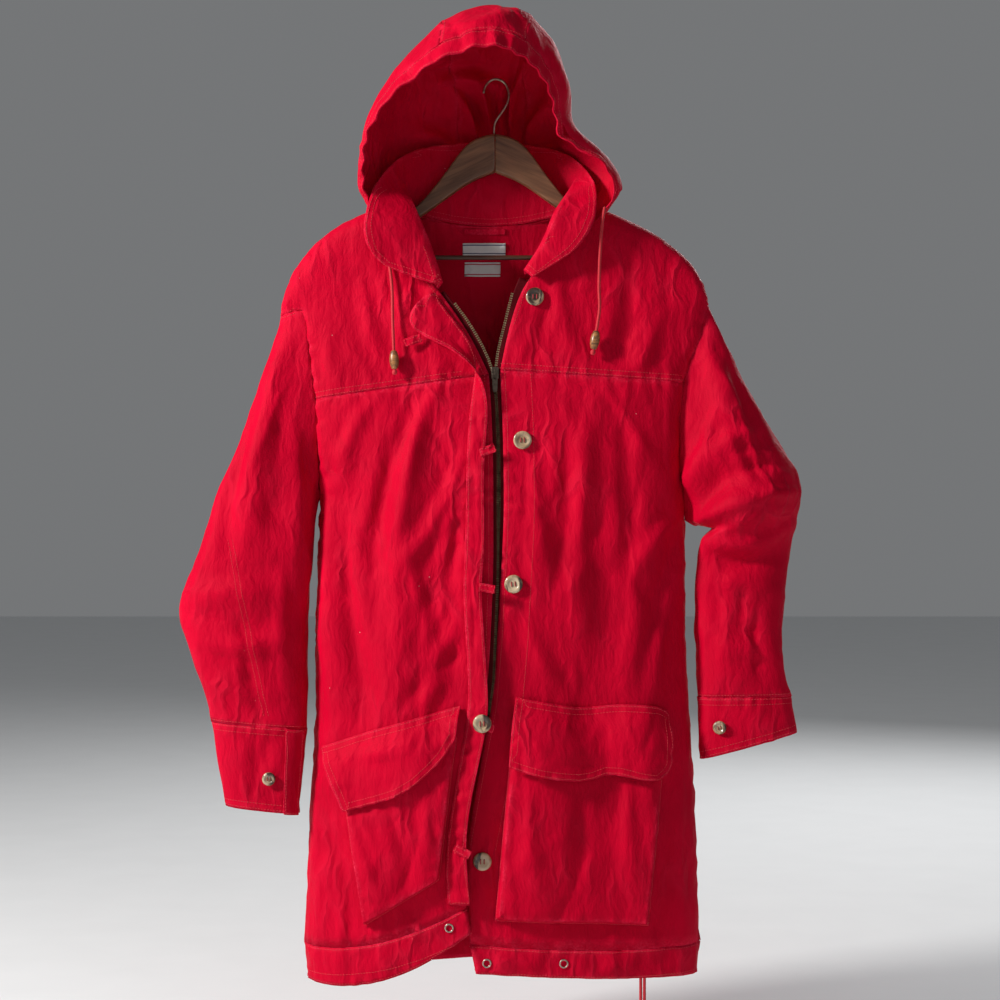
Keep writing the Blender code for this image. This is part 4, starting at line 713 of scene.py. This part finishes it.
class Cloth:
    """A cloth piece: its solid's form smoothed, then creased."""

    def __init__(self, node, levels, way, front, back, strength=1.0, fold=1.4, reach=0.25,
                 held=0.78, flat=False):
        self.node, self.way, self.front, self.back = node, way, front, back
        self.strength, self.fold, self.reach, self.held = strength, fold, reach, held
        self.plan = np.array((1, 0, 1) if flat else (1, 1, 1))
        form, crease = merged_form(node, 60, 50, 1.0)
        self.rim_faces = set()
        for face in form.faces:
            lengths = [edge.calc_length() for edge in face.edges]
            if min(lengths) < THICKEST and sum(edge[crease] > 0 for edge in face.edges) >= 2:
                self.rim_faces.add(face.index)
        form.faces.ensure_lookup_table()
        self.rims = self.outer_rims(form)
        self.mesh = smoothed(form, node, levels)
        self.points = read_points(self.mesh)
        creased = np.zeros(len(self.mesh.edges), np.float32)
        self.mesh.attributes["crease_edge"].data.foreach_get("value", creased)
        ends = np.empty(len(self.mesh.edges) * 2, int)
        self.mesh.edges.foreach_get("vertices", ends)
        self.rim_points = self.points[np.unique(ends.reshape(-1, 2)[creased > 0.5])]

    def outer_rims(self, form):
        """Lines along the outer wall's edges: (points, the directions into the cloth)."""
        links = {}
        for edge in form.edges:
            faces = edge.link_faces
            on_rim = [face.index in self.rim_faces for face in faces]
            if len(faces) != 2 or sum(on_rim) != 1:
                continue
            wall = faces[0] if not on_rim[0] else faces[1]
            middle = (edge.verts[0].co + edge.verts[1].co) / 2
            out = Vector(self.way(np.array([middle]))[0])
            if wall.normal.dot(out) <= 0:
                continue
            along = (edge.verts[1].co - edge.verts[0].co).normalized()
            inward = wall.calc_center_median() - middle
            inward = (inward - along * inward.dot(along)).normalized()
            a, b = edge.verts[0], edge.verts[1]
            links.setdefault(a, []).append((b, inward))
            links.setdefault(b, []).append((a, inward))
        lines, used = [], set()
        starts = [v for v in links if len(links[v]) == 1] + list(links)
        for start in starts:
            line, here = [], start
            while True:
                ahead = [(v, i) for v, i in links[here] if frozenset((here, v)) not in used]
                if not ahead:
                    break
                vert, inward = ahead[0]
                used.add(frozenset((here, vert)))
                if not line:
                    line.append((here.co.copy(), inward))
                line.append((vert.co.copy(), inward))
                here = vert
            if len(line) > 1:
                lines.append((np.array([p for p, _ in line]), np.array([i for _, i in line])))
        return lines

    def rim_samples(self):
        """Places along the outer wall's edges, with their run and the way into the cloth."""
        found = []
        for points, inward in self.rims:
            line = evenly(np.concatenate([points, inward], axis=1), 2.5 * MM)
            along = np.gradient(line[:, :3], axis=0)
            along /= np.maximum(np.linalg.norm(along, axis=1), 1e-9)[:, None]
            found.append(np.concatenate([line[:, :3], along, line[:, 3:]], axis=1))
        return np.concatenate(found)

    def finish(self, material, group_rims):
        """Creases the piece, and puts it in the scene."""
        way = self.way(self.points)
        facing = ease(0.5 - 0.9 * way[:, 1])
        level = self.points.copy()
        level[:, 1] = self.points[:, 1] * (1 - way[:, 1] ** 2) + 0.09 * (1 - facing)
        out = self.fold * (creases(self.front, self.points) * facing
                           + creases(self.back, self.points) * (1 - facing))
        out += crumple(level)
        distance, place = nearest(group_rims[:, :3] * self.plan, self.points * self.plan)
        out *= 1 - self.held * (1 - ease(distance / (16 * MM)))
        run = group_rims[place, 3:6] ** 2
        draw = (run[:, 0] * noise(level, (0.0078, 0.02, 0.034), 20)
                + run[:, 1] * noise(level, (0.03, 0.0078, 0.03), 21)
                + run[:, 2] * noise(level, (0.034, 0.02, 0.0078), 22))
        out += np.exp(-(distance / (11 * MM)) ** 2) * (1.7 * draw + 0.2) * MM
        for x, z, wide in STILL:
            away = np.hypot(self.points[:, 0] - x, self.points[:, 2] - z)
            out *= 1 - facing * np.exp(-(away / wide) ** 4)
        for line in HANG_LINES:
            under = facing * np.exp(-(from_line(line, self.points) / (9 * MM)) ** 2)
            out = np.where(out > 0, out * (1 - under), out)
        own = self.rim_samples()
        distance, place = nearest(own[:, :3], self.points)
        grow = np.exp(-(distance / (4 * MM)) ** 2) * self.reach * MM
        seam, _ = nearest(self.rim_points, self.points)
        self.points = self.points + way * (out * self.strength)[:, None]
        self.points -= own[place, 6:9] * grow[:, None]
        self.mesh.vertices.foreach_set("co", self.points.astype(np.float32).ravel())
        stored = self.mesh.attributes.new("seam_near", "FLOAT", "POINT")
        near = np.exp(-(seam / (3.2 * MM)) ** 2)
        stored.data.foreach_set("value", near.astype(np.float32))
        self.mesh.materials.clear()
        self.mesh.materials.append(material)
        self.mesh.update()
        self.mesh.shade_smooth()
        self.mesh.set_sharp_from_angle(angle=math.radians(50))
        self.made = show(f"{self.node}_cloth", self.mesh)
        faces = [tuple(face.vertices) for face in self.mesh.polygons]
        self.surface = BVHTree.FromPolygons([Vector(p) for p in self.points], faces)


def read_points(mesh):
    points = np.empty(len(mesh.vertices) * 3, np.float32)
    mesh.vertices.foreach_get("co", points)
    return points.reshape(-1, 3).astype(float)


def nearest(rims, points):
    """Distance from each point to the nearest of the rim points, and which one it is."""
    tree = KDTree(len(rims))
    for i, point in enumerate(rims):
        tree.insert(point, i)
    tree.balance()
    found = [tree.find(point)[1:] for point in points]
    return np.array([far for _, far in found]), np.array([place for place, _ in found])


# ---------------------------------------------------------------- repeats along lines
def evenly(points, spacing):
    """A line's points, about spacing apart along it."""
    run = np.concatenate([[0], np.cumsum(np.linalg.norm(np.diff(points, axis=0), axis=1))])
    count = max(int(round(run[-1] / spacing)), 1)
    at = np.linspace(0, run[-1], count + 1)
    return np.stack([np.interp(at, run, points[:, i]) for i in range(points.shape[1])], axis=1)


def laid_on(cloth, points, lift):
    """Points moved onto a creased piece's outer face."""
    laid = []
    for point, way in zip(points, cloth.way(points)):
        start = Vector(point + way * 12 * MM)
        place, normal, _, _ = cloth.surface.ray_cast(start, Vector(-way), 24 * MM)
        if place is None:
            place, normal, _, _ = cloth.surface.find_nearest(Vector(point))
        laid.append(place + normal * lift * MM)
    return np.array(laid)


LINE_STEP, THREAD_LIFT = 2.6 * MM, 0.12     # along a sewn line, and off the cloth in mm


def beside_edges(cloth, offset, keep=None):
    """Lines offset in mm from a piece's edges, where keep chooses by the way inward."""
    lines = []
    for points, inward in cloth.rims:
        run = []
        for point, into in zip(points, inward):
            if keep is None or keep(into):
                run.append(point + into * offset * MM)
            elif run:
                lines.append(run)
                run = []
        lines.append(run)
    return [laid_on(cloth, evenly(np.array(run), LINE_STEP), THREAD_LIFT)
            for run in lines if len(run) > 1]


def line_mesh(name, lines, toward=None):
    """A mesh of loose lines; toward is a vector for each point."""
    mesh = bpy.data.meshes.new(name)
    points, edges = [], []
    for line in lines:
        edges += [(len(points) + i, len(points) + i + 1) for i in range(len(line) - 1)]
        points += [tuple(p) for p in line]
    mesh.from_pydata(points, edges, [])
    if toward is not None:
        stored = mesh.attributes.new("toward", "FLOAT_VECTOR", "POINT")
        stored.data.foreach_set("vector", np.concatenate(toward).astype(np.float32).ravel())
    return show(name, mesh)


class Repeat:
    """A Geometry Nodes tree that sets a shape along lines."""

    def __init__(self, name, **sizes):
        self.tree = bpy.data.node_groups.new(name, "GeometryNodeTree")
        self.sockets = {}
        self.socket("Geometry", "NodeSocketGeometry")
        self.tree.interface.new_socket("Geometry", in_out="OUTPUT",
                                       socket_type="NodeSocketGeometry")
        self.given = self.tree.nodes.new("NodeGroupInput").outputs
        self.result = self.tree.nodes.new("NodeGroupOutput").inputs
        for label, value in sizes.items():
            self.socket(label, "NodeSocketFloat", value)
        self.socket("Material", "NodeSocketMaterial")

    def socket(self, label, kind, value=None):
        made = self.tree.interface.new_socket(label, in_out="INPUT", socket_type=kind)
        if value is not None:
            made.default_value = value
        self.sockets[label] = made.identifier

    def node(self, kind, inputs=None, **settings):
        made = self.tree.nodes.new(kind)
        for name, value in settings.items():
            setattr(made, name, value)
        for name, value in (inputs or {}).items():
            socket = made.inputs[name]
            if isinstance(value, bpy.types.NodeSocket):
                self.tree.links.new(value, socket)
            else:
                socket.default_value = value
        return made.outputs

    def spaced(self):
        """Points a pitch apart along the lines, and the lines' direction there."""
        curve = self.node("GeometryNodeMeshToCurve", {"Mesh": self.given["Geometry"]})[0]
        points = self.node("GeometryNodeResampleCurve",
                           {"Curve": curve, "Length": self.given["Pitch"]}, mode="LENGTH")[0]
        tangent = self.node("GeometryNodeInputTangent")[0]
        turned = self.node("FunctionNodeAlignRotationToVector", {"Vector": tangent}, axis="Z")[0]
        return points, turned

    def end(self, points, shape, turned):
        """Sets the shape at the points."""
        placed = self.node("GeometryNodeInstanceOnPoints",
                           {"Points": points, "Instance": shape, "Rotation": turned})[0]
        real = self.node("GeometryNodeRealizeInstances", {"Geometry": placed})[0]
        painted = self.node("GeometryNodeSetMaterial", {"Geometry": real,
                                                        "Material": self.given["Material"]})[0]
        self.tree.links.new(painted, self.result[0])

    def made_along(self, lines, **values):
        """Runs the tree on an object of lines and returns its plain mesh object."""
        run = lines.modifiers.new("repeat", "NODES")
        run.node_group = self.tree
        for label, value in values.items():
            run[self.sockets[label]] = value
        name = lines.name
        mesh = plain_mesh(lines)
        mesh.name = name
        mesh.shade_smooth()
        return show(name, mesh)


def stitch_tree():
    repeat = Repeat("stitches", Pitch=0.0034, Length=0.0026, Thickness=0.00055)
    points, turned = repeat.spaced()
    bead = repeat.node("GeometryNodeMeshUVSphere", {"Segments": 5, "Rings": 3, "Radius": 0.5})[0]
    size = repeat.node("ShaderNodeCombineXYZ", {"X": repeat.given["Thickness"],
                                                "Y": repeat.given["Thickness"],
                                                "Z": repeat.given["Length"]})[0]
    stitch = repeat.node("GeometryNodeTransform", {"Geometry": bead, "Scale": size})[0]
    repeat.end(points, stitch, turned)
    return repeat


def teeth_tree():
    repeat = Repeat("zip teeth", Pitch=0.0026, Reach=0.0026, Width=0.0013, Depth=0.0018)
    points, upright = repeat.spaced()
    reach = repeat.given["Reach"]
    size = repeat.node("ShaderNodeCombineXYZ", {"X": reach, "Y": repeat.given["Depth"],
                                                "Z": repeat.given["Width"]})[0]
    bar = repeat.node("GeometryNodeMeshCube", {"Size": size})[0]
    knob = repeat.node("GeometryNodeMeshCylinder", {"Vertices": 8, "Radius": 0.0009,
                                                    "Depth": repeat.given["Depth"]})[0]
    out = repeat.node("ShaderNodeMath", {0: reach, 1: 0.36}, operation="MULTIPLY")[0]
    aside = repeat.node("ShaderNodeCombineXYZ", {"X": out})[0]
    knob = repeat.node("GeometryNodeTransform", {"Geometry": knob, "Translation": aside,
                                                 "Rotation": (math.pi / 2, 0, 0)})[0]
    join = repeat.tree.nodes.new("GeometryNodeJoinGeometry")
    repeat.tree.links.new(bar, join.inputs[0])
    repeat.tree.links.new(knob, join.inputs[0])
    toward = repeat.node("GeometryNodeInputNamedAttribute", {"Name": "toward"},
                         data_type="FLOAT_VECTOR")[0]
    turned = repeat.node("FunctionNodeAlignRotationToVector",
                         {"Rotation": upright, "Vector": toward}, axis="X", pivot_axis="Z")[0]
    repeat.end(points, join.outputs[0], turned)
    return repeat


# ---------------------------------------------------------------- hard pieces and cords
def stand_for(made, node):
    """made moves with the solid's body and is shown in its place."""
    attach(made, frame["nodes"][node]["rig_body"])
    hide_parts(node)
    return made


def refined(node, levels, material, sharp, crease):
    """A hard piece with its solid's own form, rounded where its edges are soft."""
    form, _ = merged_form(node, 25, sharp, crease)
    fine = smoothed(form, node, levels)
    fine.materials.clear()
    fine.materials.append(material)
    fine.shade_smooth()
    return stand_for(show(f"{node}_detail", fine), node)


def follow(values, at):
    """Smooth interpolation through values at 0, 1, 2 and so on (Catmull-Rom)."""
    at = np.asarray(at, float)
    index = np.clip(np.floor(at).astype(int), 0, len(values) - 2)
    part = (at - index)[..., None]
    pad = np.concatenate([values[:1], values, values[-1:]])
    a, b, c, d = (pad[index + i] for i in range(4))
    return ((2 * b + (c - a) * part + (2 * a - 5 * b + 4 * c - d) * part ** 2
             + (3 * b - 3 * c + d - a) * part ** 3) / 2)


PLAIT_TURNS = 1300.0    # of the braid's strands round the cord, radians a metre


def tube(name, points, radius, material, sides, braid=0.0):
    """A closed round tube along points; braid is how far its plait stands out."""
    points = np.asarray(points, float)
    way = np.gradient(points, axis=0)
    way /= np.linalg.norm(way, axis=1)[:, None]
    side = np.cross(way[0], (0.3, 1, 0.1))
    run = np.concatenate([[0], np.cumsum(np.linalg.norm(np.diff(points, axis=0), axis=1))])
    verts, faces = [], []
    for i, point in enumerate(points):
        side = side - way[i] * (side @ way[i])
        side /= np.linalg.norm(side)
        up = np.cross(way[i], side)
        for j in range(sides):
            angle = 2 * math.pi * j / sides
            turn = run[i] * PLAIT_TURNS
            plait = math.cos(4 * angle + turn) * math.cos(4 * angle - turn)
            reach = radius * (1 - braid + braid * abs(plait))
            verts.append(point + (side * math.cos(angle) + up * math.sin(angle)) * reach)
    for i in range(len(points) - 1):
        for j in range(sides):
            k = (j + 1) % sides
            faces.append((i * sides + j, i * sides + k, (i + 1) * sides + k, (i + 1) * sides + j))
    last = (len(points) - 1) * sides
    faces.append(tuple(range(sides - 1, -1, -1)))
    faces.append(tuple(range(last, last + sides)))
    mesh = bpy.data.meshes.new(name)
    mesh.from_pydata([tuple(v) for v in verts], [], faces)
    mesh.materials.append(material)
    form = bmesh.new()
    form.from_mesh(mesh)
    bmesh.ops.recalc_face_normals(form, faces=form.faces)
    form.to_mesh(mesh)
    form.free()
    mesh.shade_smooth()
    return show(name, mesh)


CORD = 3.6 * MM
HOOD_CORD_ROUTES = {
    LEFT: [(-132, -26, -178), (-126, -28, -190), (-120, -31, -210), (-116, -36, -240),
           (-115, -40, -275), (-113.5, -43, -312)],
    RIGHT: [(123.5, -38.3, -151), (122, -41.5, -159), (120, -43.5, -174), (118, -42, -205),
            (117, -41, -240), (117.5, -42, -265), (114, -43, -290)],
}
TOGGLE_LENGTH, KNOT_REACH = 21.0 * MM, 3.0 * MM
HEM_CORD_X, HEM_CORD_Y, HEM_CORD_Z = (164.0, 168.2), -37.4, (-1017.8, -1072.8)


def make_cords():
    braid = plain_red("red cord", (0.46, 0.006, 0.016), 0.75, 900.0)
    barrel = wood("toggle wood", (0.50, 0.22, 0.075), (0.05, 0.018, 0.008), 0.0, 0.34, 2.0)
    for side, route in HOOD_CORD_ROUTES.items():
        points = follow(np.array(route, float) * MM, np.linspace(0, len(route) - 1, 400))
        points = evenly(points, 1.0 * MM)
        way = points[-1] - points[-2]
        way /= np.linalg.norm(way)
        through = TOGGLE_LENGTH + KNOT_REACH
        more = [points[-1] + way * share * through for share in np.linspace(0, 1, 24)[1:]]
        points = np.concatenate([points, more])
        made = tube(f"hood_cord_{side}_braid", points, CORD / 2, braid, 16, 0.12)
        toggle = refined(f"toggle_{side}", 3, barrel, 60, 0.3)
        knot = refined(f"hood_cord_knot_{side}", 3, braid, 60, 0.3)
        stand_for(made, f"hood_cord_{side}")
    knot = refined("hem_cord_knot", 3, braid, 60, 0.3)
    for number, x in enumerate(HEM_CORD_X, start=1):
        points = [(x * MM, HEM_CORD_Y * MM, z * MM) for z in np.linspace(*HEM_CORD_Z, 56)]
        made = tube(f"hem_cord_{number}_braid", points, CORD / 2, braid, 16, 0.12)
        stand_for(made, f"hem_cord_{number}")


def disc_frame(node):
    """Centre, face direction and half size of a round flat piece."""
    points = read_points(frame["nodes"][node].data)
    centre = (points.min(0) + points.max(0)) / 2
    _, _, axes = np.linalg.svd(points - points.mean(0), full_matrices=False)
    normal = axes[2] if axes[2][1] < 0 else -axes[2]
    height = (points - centre) @ normal
    across = points - centre - height[:, None] * normal
    return centre, normal, np.linalg.norm(across, axis=1).max(), height.min(), height.max()


BUTTON_PROFILE = [(0.0, 0.60), (0.20, 0.60), (0.42, 0.63), (0.54, 0.74), (0.63, 0.95),
                  (0.76, 1.0), (0.90, 0.90), (0.98, 0.66), (1.0, 0.45), (0.97, 0.22),
                  (0.86, 0.05), (0.6, 0.0), (0.0, 0.0)]


def lathe(name, profile, radius, height, sides=40):
    form = bmesh.new()
    rings = []
    for share, rise in profile:
        if share == 0:
            rings.append([form.verts.new((0, 0, rise * height))])
            continue
        rings.append([form.verts.new((radius * share * math.cos(2 * math.pi * j / sides),
                                      radius * share * math.sin(2 * math.pi * j / sides),
                                      rise * height)) for j in range(sides)])
    for first, second in zip(rings[:-1], rings[1:]):
        for j in range(sides):
            k = (j + 1) % sides
            corners = [first[j % len(first)], first[k % len(first)],
                       second[k % len(second)], second[j % len(second)]]
            face = list(dict.fromkeys(corners))
            form.faces.new(face)
    bmesh.ops.recalc_face_normals(form, faces=form.faces)
    mesh = bpy.data.meshes.new(name)
    form.to_mesh(mesh)
    form.free()
    return show(name, mesh)


# Shares of a button's radius, of its height, and of the way between two holes.
HOLE_ASIDE, HOLE_RADIUS, YARN_RADIUS = 0.20, 0.085, 0.065
YARN_TOP, YARN_DROP = 0.82, 0.55
YARN_END = 0.16


def make_button(node, finish, thread):
    """A dished four-hole button, sewn on with two bars of thread."""
    centre, normal, radius, low, high = disc_frame(node)
    height = high - low
    button = lathe(f"{node}_horn", BUTTON_PROFILE, radius, height)
    drill = bmesh.new()
    aside = HOLE_ASIDE * radius
    spots = [(aside, aside), (-aside, aside), (-aside, -aside), (aside, -aside)]
    for x, y in spots:
        bmesh.ops.create_cone(drill, cap_ends=True, segments=14, radius1=HOLE_RADIUS * radius,
                              radius2=HOLE_RADIUS * radius, depth=4 * height,
                              matrix=Matrix.Translation((x, y, 0)))
    cutter_mesh = bpy.data.meshes.new("drill")
    drill.to_mesh(cutter_mesh)
    drill.free()
    cutter = show("drill", cutter_mesh)
    cut = button.modifiers.new("holes", "BOOLEAN")
    cut.operation, cut.object, cut.solver = "DIFFERENCE", cutter, "EXACT"
    mesh = plain_mesh(button)
    bpy.data.objects.remove(cutter)
    turn = Vector((0, 0, 1)).rotation_difference(Vector(normal)).to_matrix().to_4x4()
    seat = Matrix.Translation(Vector(centre + normal * low)) @ turn
    mesh.transform(seat)
    mesh.materials.clear()
    mesh.materials.append(finish)
    mesh.shade_smooth()
    mesh.set_sharp_from_angle(angle=math.radians(40))
    made = stand_for(show(f"{node}_horn", mesh), node)
    for number, first, second in ((1, spots[0], spots[3]), (2, spots[1], spots[2])):
        path = []
        for share in np.linspace(-YARN_END, 1 + YARN_END, 19):
            along = min(max(share, 0), 1)
            x = first[0] + (second[0] - first[0]) * along
            y = first[1] + (second[1] - first[1]) * along
            drop = max(-share, share - 1, 0) / YARN_END
            path.append(seat @ Vector((x, y, (YARN_TOP - drop * YARN_DROP) * height)))
        yarn = tube(f"{node}_thread_{number}", path, YARN_RADIUS * radius, thread, 8)
        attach(yarn, "root")
    return made


# ---------------------------------------------------------------- the coat
def both(*names):
    return [f"{name}_{side}" for name in names for side in (LEFT, RIGHT)]


TABS = [f"button_tab_{number}" for number in range(1, 6)]
FRONT_NODES = [*both("front", "front_yoke", "hem", "pocket", "pocket_flap"), "storm_flap",
               *both("zip_tape"), *TABS]
BACK_NODES = ["back", "hem_back", "hanging_loop", "label_upper", "label_lower"]
HOOD_NODES = [*both("hood_side"), "hood_centre", "hood_casing"]
SLEEVE_NODES = {LEFT: ["sleeve_left", "cuff_left"], RIGHT: ["sleeve_right", "cuff_right"]}
COARSE = [*both("sleeve", "zip_tape"), "hood_casing"]       # large or long: subdivided less


def make_cloth():
    canvas = red_canvas("red canvas")
    shade = red_canvas("hood canvas", wear=0.8)
    worn = red_canvas("bound edges", wear=1.25)
    # the zip tape's near-black red is its own dark colour deepened with painted shade from the
    # gap between the fronts
    tape = red_canvas("zip tape", (0.085, 0.003, 0.006), (0.16, 0.012, 0.018), wear=0.5,
                      crumple=0.3, lint=0.0)
    labels = {
        "label_upper": woven_label("upper label", (0.82, 0.82, 0.80), (0.06, 0.08, 0.16),
                                   -0.198, -0.184),
        "label_lower": woven_label("lower label", (0.76, 0.76, 0.75), (0.45, 0.04, 0.05),
                                   -0.222, -0.206),
    }
    pieces = {}

    def add(nodes, way, front, back, **settings):
        for node in nodes:
            pieces[node] = Cloth(node, 2 if node in COARSE else 3, way, front, back, **settings)

    add(FRONT_NODES + BACK_NODES, body_way, BODY_FRONT, BODY_BACK, flat=True)
    for side, nodes in SLEEVE_NODES.items():
        add(nodes, sleeve_way(side), SLEEVES_FRONT, SLEEVES_BACK, fold=1.5, reach=0.7)
    add(["cuff_placket_left"], sleeve_way(LEFT), SLEEVES_FRONT, SLEEVES_BACK, strength=0.5)
    add(HOOD_NODES, hood_way, HOOD_FRONT, HOOD_BACK, fold=1.6, reach=0.7, held=0.25)
    add(["collar"], collar_way, COLLAR_FRONT, COLLAR_FRONT, strength=0.6)
    groups = [FRONT_NODES, BACK_NODES, [*SLEEVE_NODES[LEFT], "cuff_placket_left"],
              SLEEVE_NODES[RIGHT], HOOD_NODES, ["collar"]]
    for group in groups:
        rims = np.concatenate([pieces[node].rim_samples() for node in group])
        for node in group:
            material = canvas
            if node.startswith("hood"):
                material = shade
            elif node.startswith("zip"):
                material = tape
            elif node.startswith(("button_tab", "cuff", "hem", "storm")):
                material = worn
            pieces[node].finish(labels.get(node, material), rims)
            made = stand_for(pieces[node].made, node)
    return pieces


# Which edges are sewn, by the way into the cloth from there.
def low_edge(into):
    return into[2] > 0.55


def top_edge(into):
    return into[2] < -0.55


def across_edge(into):
    return abs(into[2]) > 0.4


def inner_left(into):
    return into[0] < -0.45


def inner_right(into):
    return into[0] > 0.45


INNER = {LEFT: inner_left, RIGHT: inner_right}
# The sewn rows of each stitched area: the piece, how far in from its edge in mm, which edges.
SEWN = {
    "yokes": [*((node, offset, low_edge) for node in both("front_yoke") for offset in (2.2, 7.5)),
              ("front_yoke_left", 5.0, inner_left), ("front_yoke_right", 5.0, inner_right)],
    "fronts": [("front_right", 5.0, inner_right), ("front_left", 5.0, inner_left),
               ("front_right", 34.0, inner_right)],
    "hem": [(node, offset, keep) for offset, keep in ((2.0, across_edge), (30.0, top_edge))
            for node in (*both("hem"), "hem_back")],
    "pockets": [*((node, offset, None) for node in both("pocket_flap") for offset in (2.0, 8.0)),
                *((node, 2.0, None) for node in both("pocket"))],
    "storm_flap": [("storm_flap", 2.5, None)],
    "cuffs": [*((node, offset, across_edge) for node in both("cuff") for offset in (2.0, 8.0)),
              ("cuff_placket_left", 2.0, None)],
    "collar": [("collar", 2.5, None), ("collar", 8.0, None)],
    "hood": [("hood_centre", 2.2, None), ("hood_casing", 1.6, None)],
    "armholes": [(node, 2.5, keep) for keep in (top_edge, low_edge) for node in both("sleeve")],
    "tabs": [(tab, 1.8, None) for tab in TABS],
}
ELBOW_SEAM = metres([(-300.6, 0, -525.7), (-293.8, 0, -560), (-284.6, 0, -605.7),
                     (-275.5, 0, -651.5), (-266.3, 0, -697), (-260.5, 0, -722)])


def sew(pieces):
    """Topstitching beside the seams and edges."""
    thread = plain_red("red thread", (0.66, 0.035, 0.05), 0.6, 1500.0)
    stitches = stitch_tree()
    rows = {name: [line for node, offset, keep in sewn
                   for line in beside_edges(pieces[node], offset, keep)]
            for name, sewn in SEWN.items()}
    rows["elbow"] = []
    for aside in (0.0, 5.5 * MM):
        line = evenly(ELBOW_SEAM + (aside, 0, 0), LINE_STEP)
        hits = [pieces["sleeve_left"].surface.ray_cast(Vector((x, -0.2, z)), Vector((0, 1, 0)))
                for x, _, z in line]
        rows["elbow"].append([place - Vector((0, 0.1 * MM, 0)) for place, *_ in hits if place])
    for name, lines in rows.items():
        made = stitches.made_along(line_mesh(f"stitches_{name}", lines), Material=thread)
        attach(made, "root")


SLIDER_Z = -337 * MM


def make_teeth(pieces):
    """The zip's teeth: bright on the open edges; in the closed run below the slider they are
    painted dark, as painted shade.
    """
    bright = metal("zip brass", (0.80, 0.62, 0.36), 0.26, (0.50, 0.34, 0.18))
    # painted shade: the closed run's teeth get a near-black brass and tarnish in place of the
    # shadow in the gap between the fronts
    dark = metal("shaded zip brass", (0.16, 0.11, 0.06), 0.42, (0.07, 0.04, 0.025))
    finishes = {"open": bright, "closed": dark}
    teeth = teeth_tree()
    for side in (LEFT, RIGHT):
        tape = pieces[f"zip_tape_{side}"]
        turn = 1 if side == LEFT else -1
        runs = {"open": ([], []), "closed": ([], [])}
        for line in beside_edges(tape, 0.2, INNER[side]):
            if side == RIGHT:
                line = line[1:]
            line = line - tape.way(line) * 0.6 * MM
            along = np.gradient(line, axis=0)
            along /= np.linalg.norm(along, axis=1)[:, None]
            out = np.cross(along, tape.way(line))
            out *= np.sign(out[:, :1]) * turn
            above = line[:, 2] > SLIDER_Z
            for run, chosen in (("open", above), ("closed", ~above)):
                if chosen.sum() > 1:
                    runs[run][0].append((line + out * 0.8 * MM)[chosen])
                    runs[run][1].append(out[chosen])
        for run, (lines, toward) in runs.items():
            made = teeth.made_along(line_mesh(f"zip_teeth_{side}_{run}", lines, toward),
                                    Material=finishes[run])
            made.data.shade_flat()
            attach(made, "root")


def make_hard_pieces():
    finish = horn("horn")
    thread = plain_red("button thread", (0.30, 0.02, 0.02), 0.6, 1500.0)
    for number in range(1, 6):
        make_button(f"button_{number}", finish, thread)
    for node in both("cuff_button"):
        make_button(node, finish, thread)
    light, dark = (0.25, 0.115, 0.055), (0.085, 0.034, 0.016)
    for side, slope in ((LEFT, 0.42), (RIGHT, -0.42)):
        refined(f"hanger_{side}", 3, wood(f"{side} arm wood", light, dark, slope, 0.36), 40, 0.72)
    refined("trouser_bar", 2, wood("bar wood", (0.10, 0.034, 0.014), (0.03, 0.01, 0.006), 0.0,
                                   0.4), 60, 0.9)
    steel = metal("hook wire", (0.42, 0.36, 0.28), 0.30, (0.20, 0.15, 0.10))
    refined("hook", 2, steel, 60, 0.5)
    eyelet = metal("eyelet", (0.52, 0.44, 0.38), 0.28, (0.24, 0.16, 0.12))
    for number in range(1, 4):
        refined(f"hem_eyelet_{number}", 2, eyelet, 70, 0.2)
    dark_brass = metal("slider metal", (0.17, 0.13, 0.10), 0.32, (0.07, 0.05, 0.04))
    refined("zip_slider", 3, dark_brass, 40, 0.55)
    refined("zip_pull_tab", 3, dark_brass, 40, 0.6)


place_camera()
make_cords()
pieces = make_cloth()
sew(pieces)
make_teeth(pieces)
make_hard_pieces()
lay_floor()
light_studio()
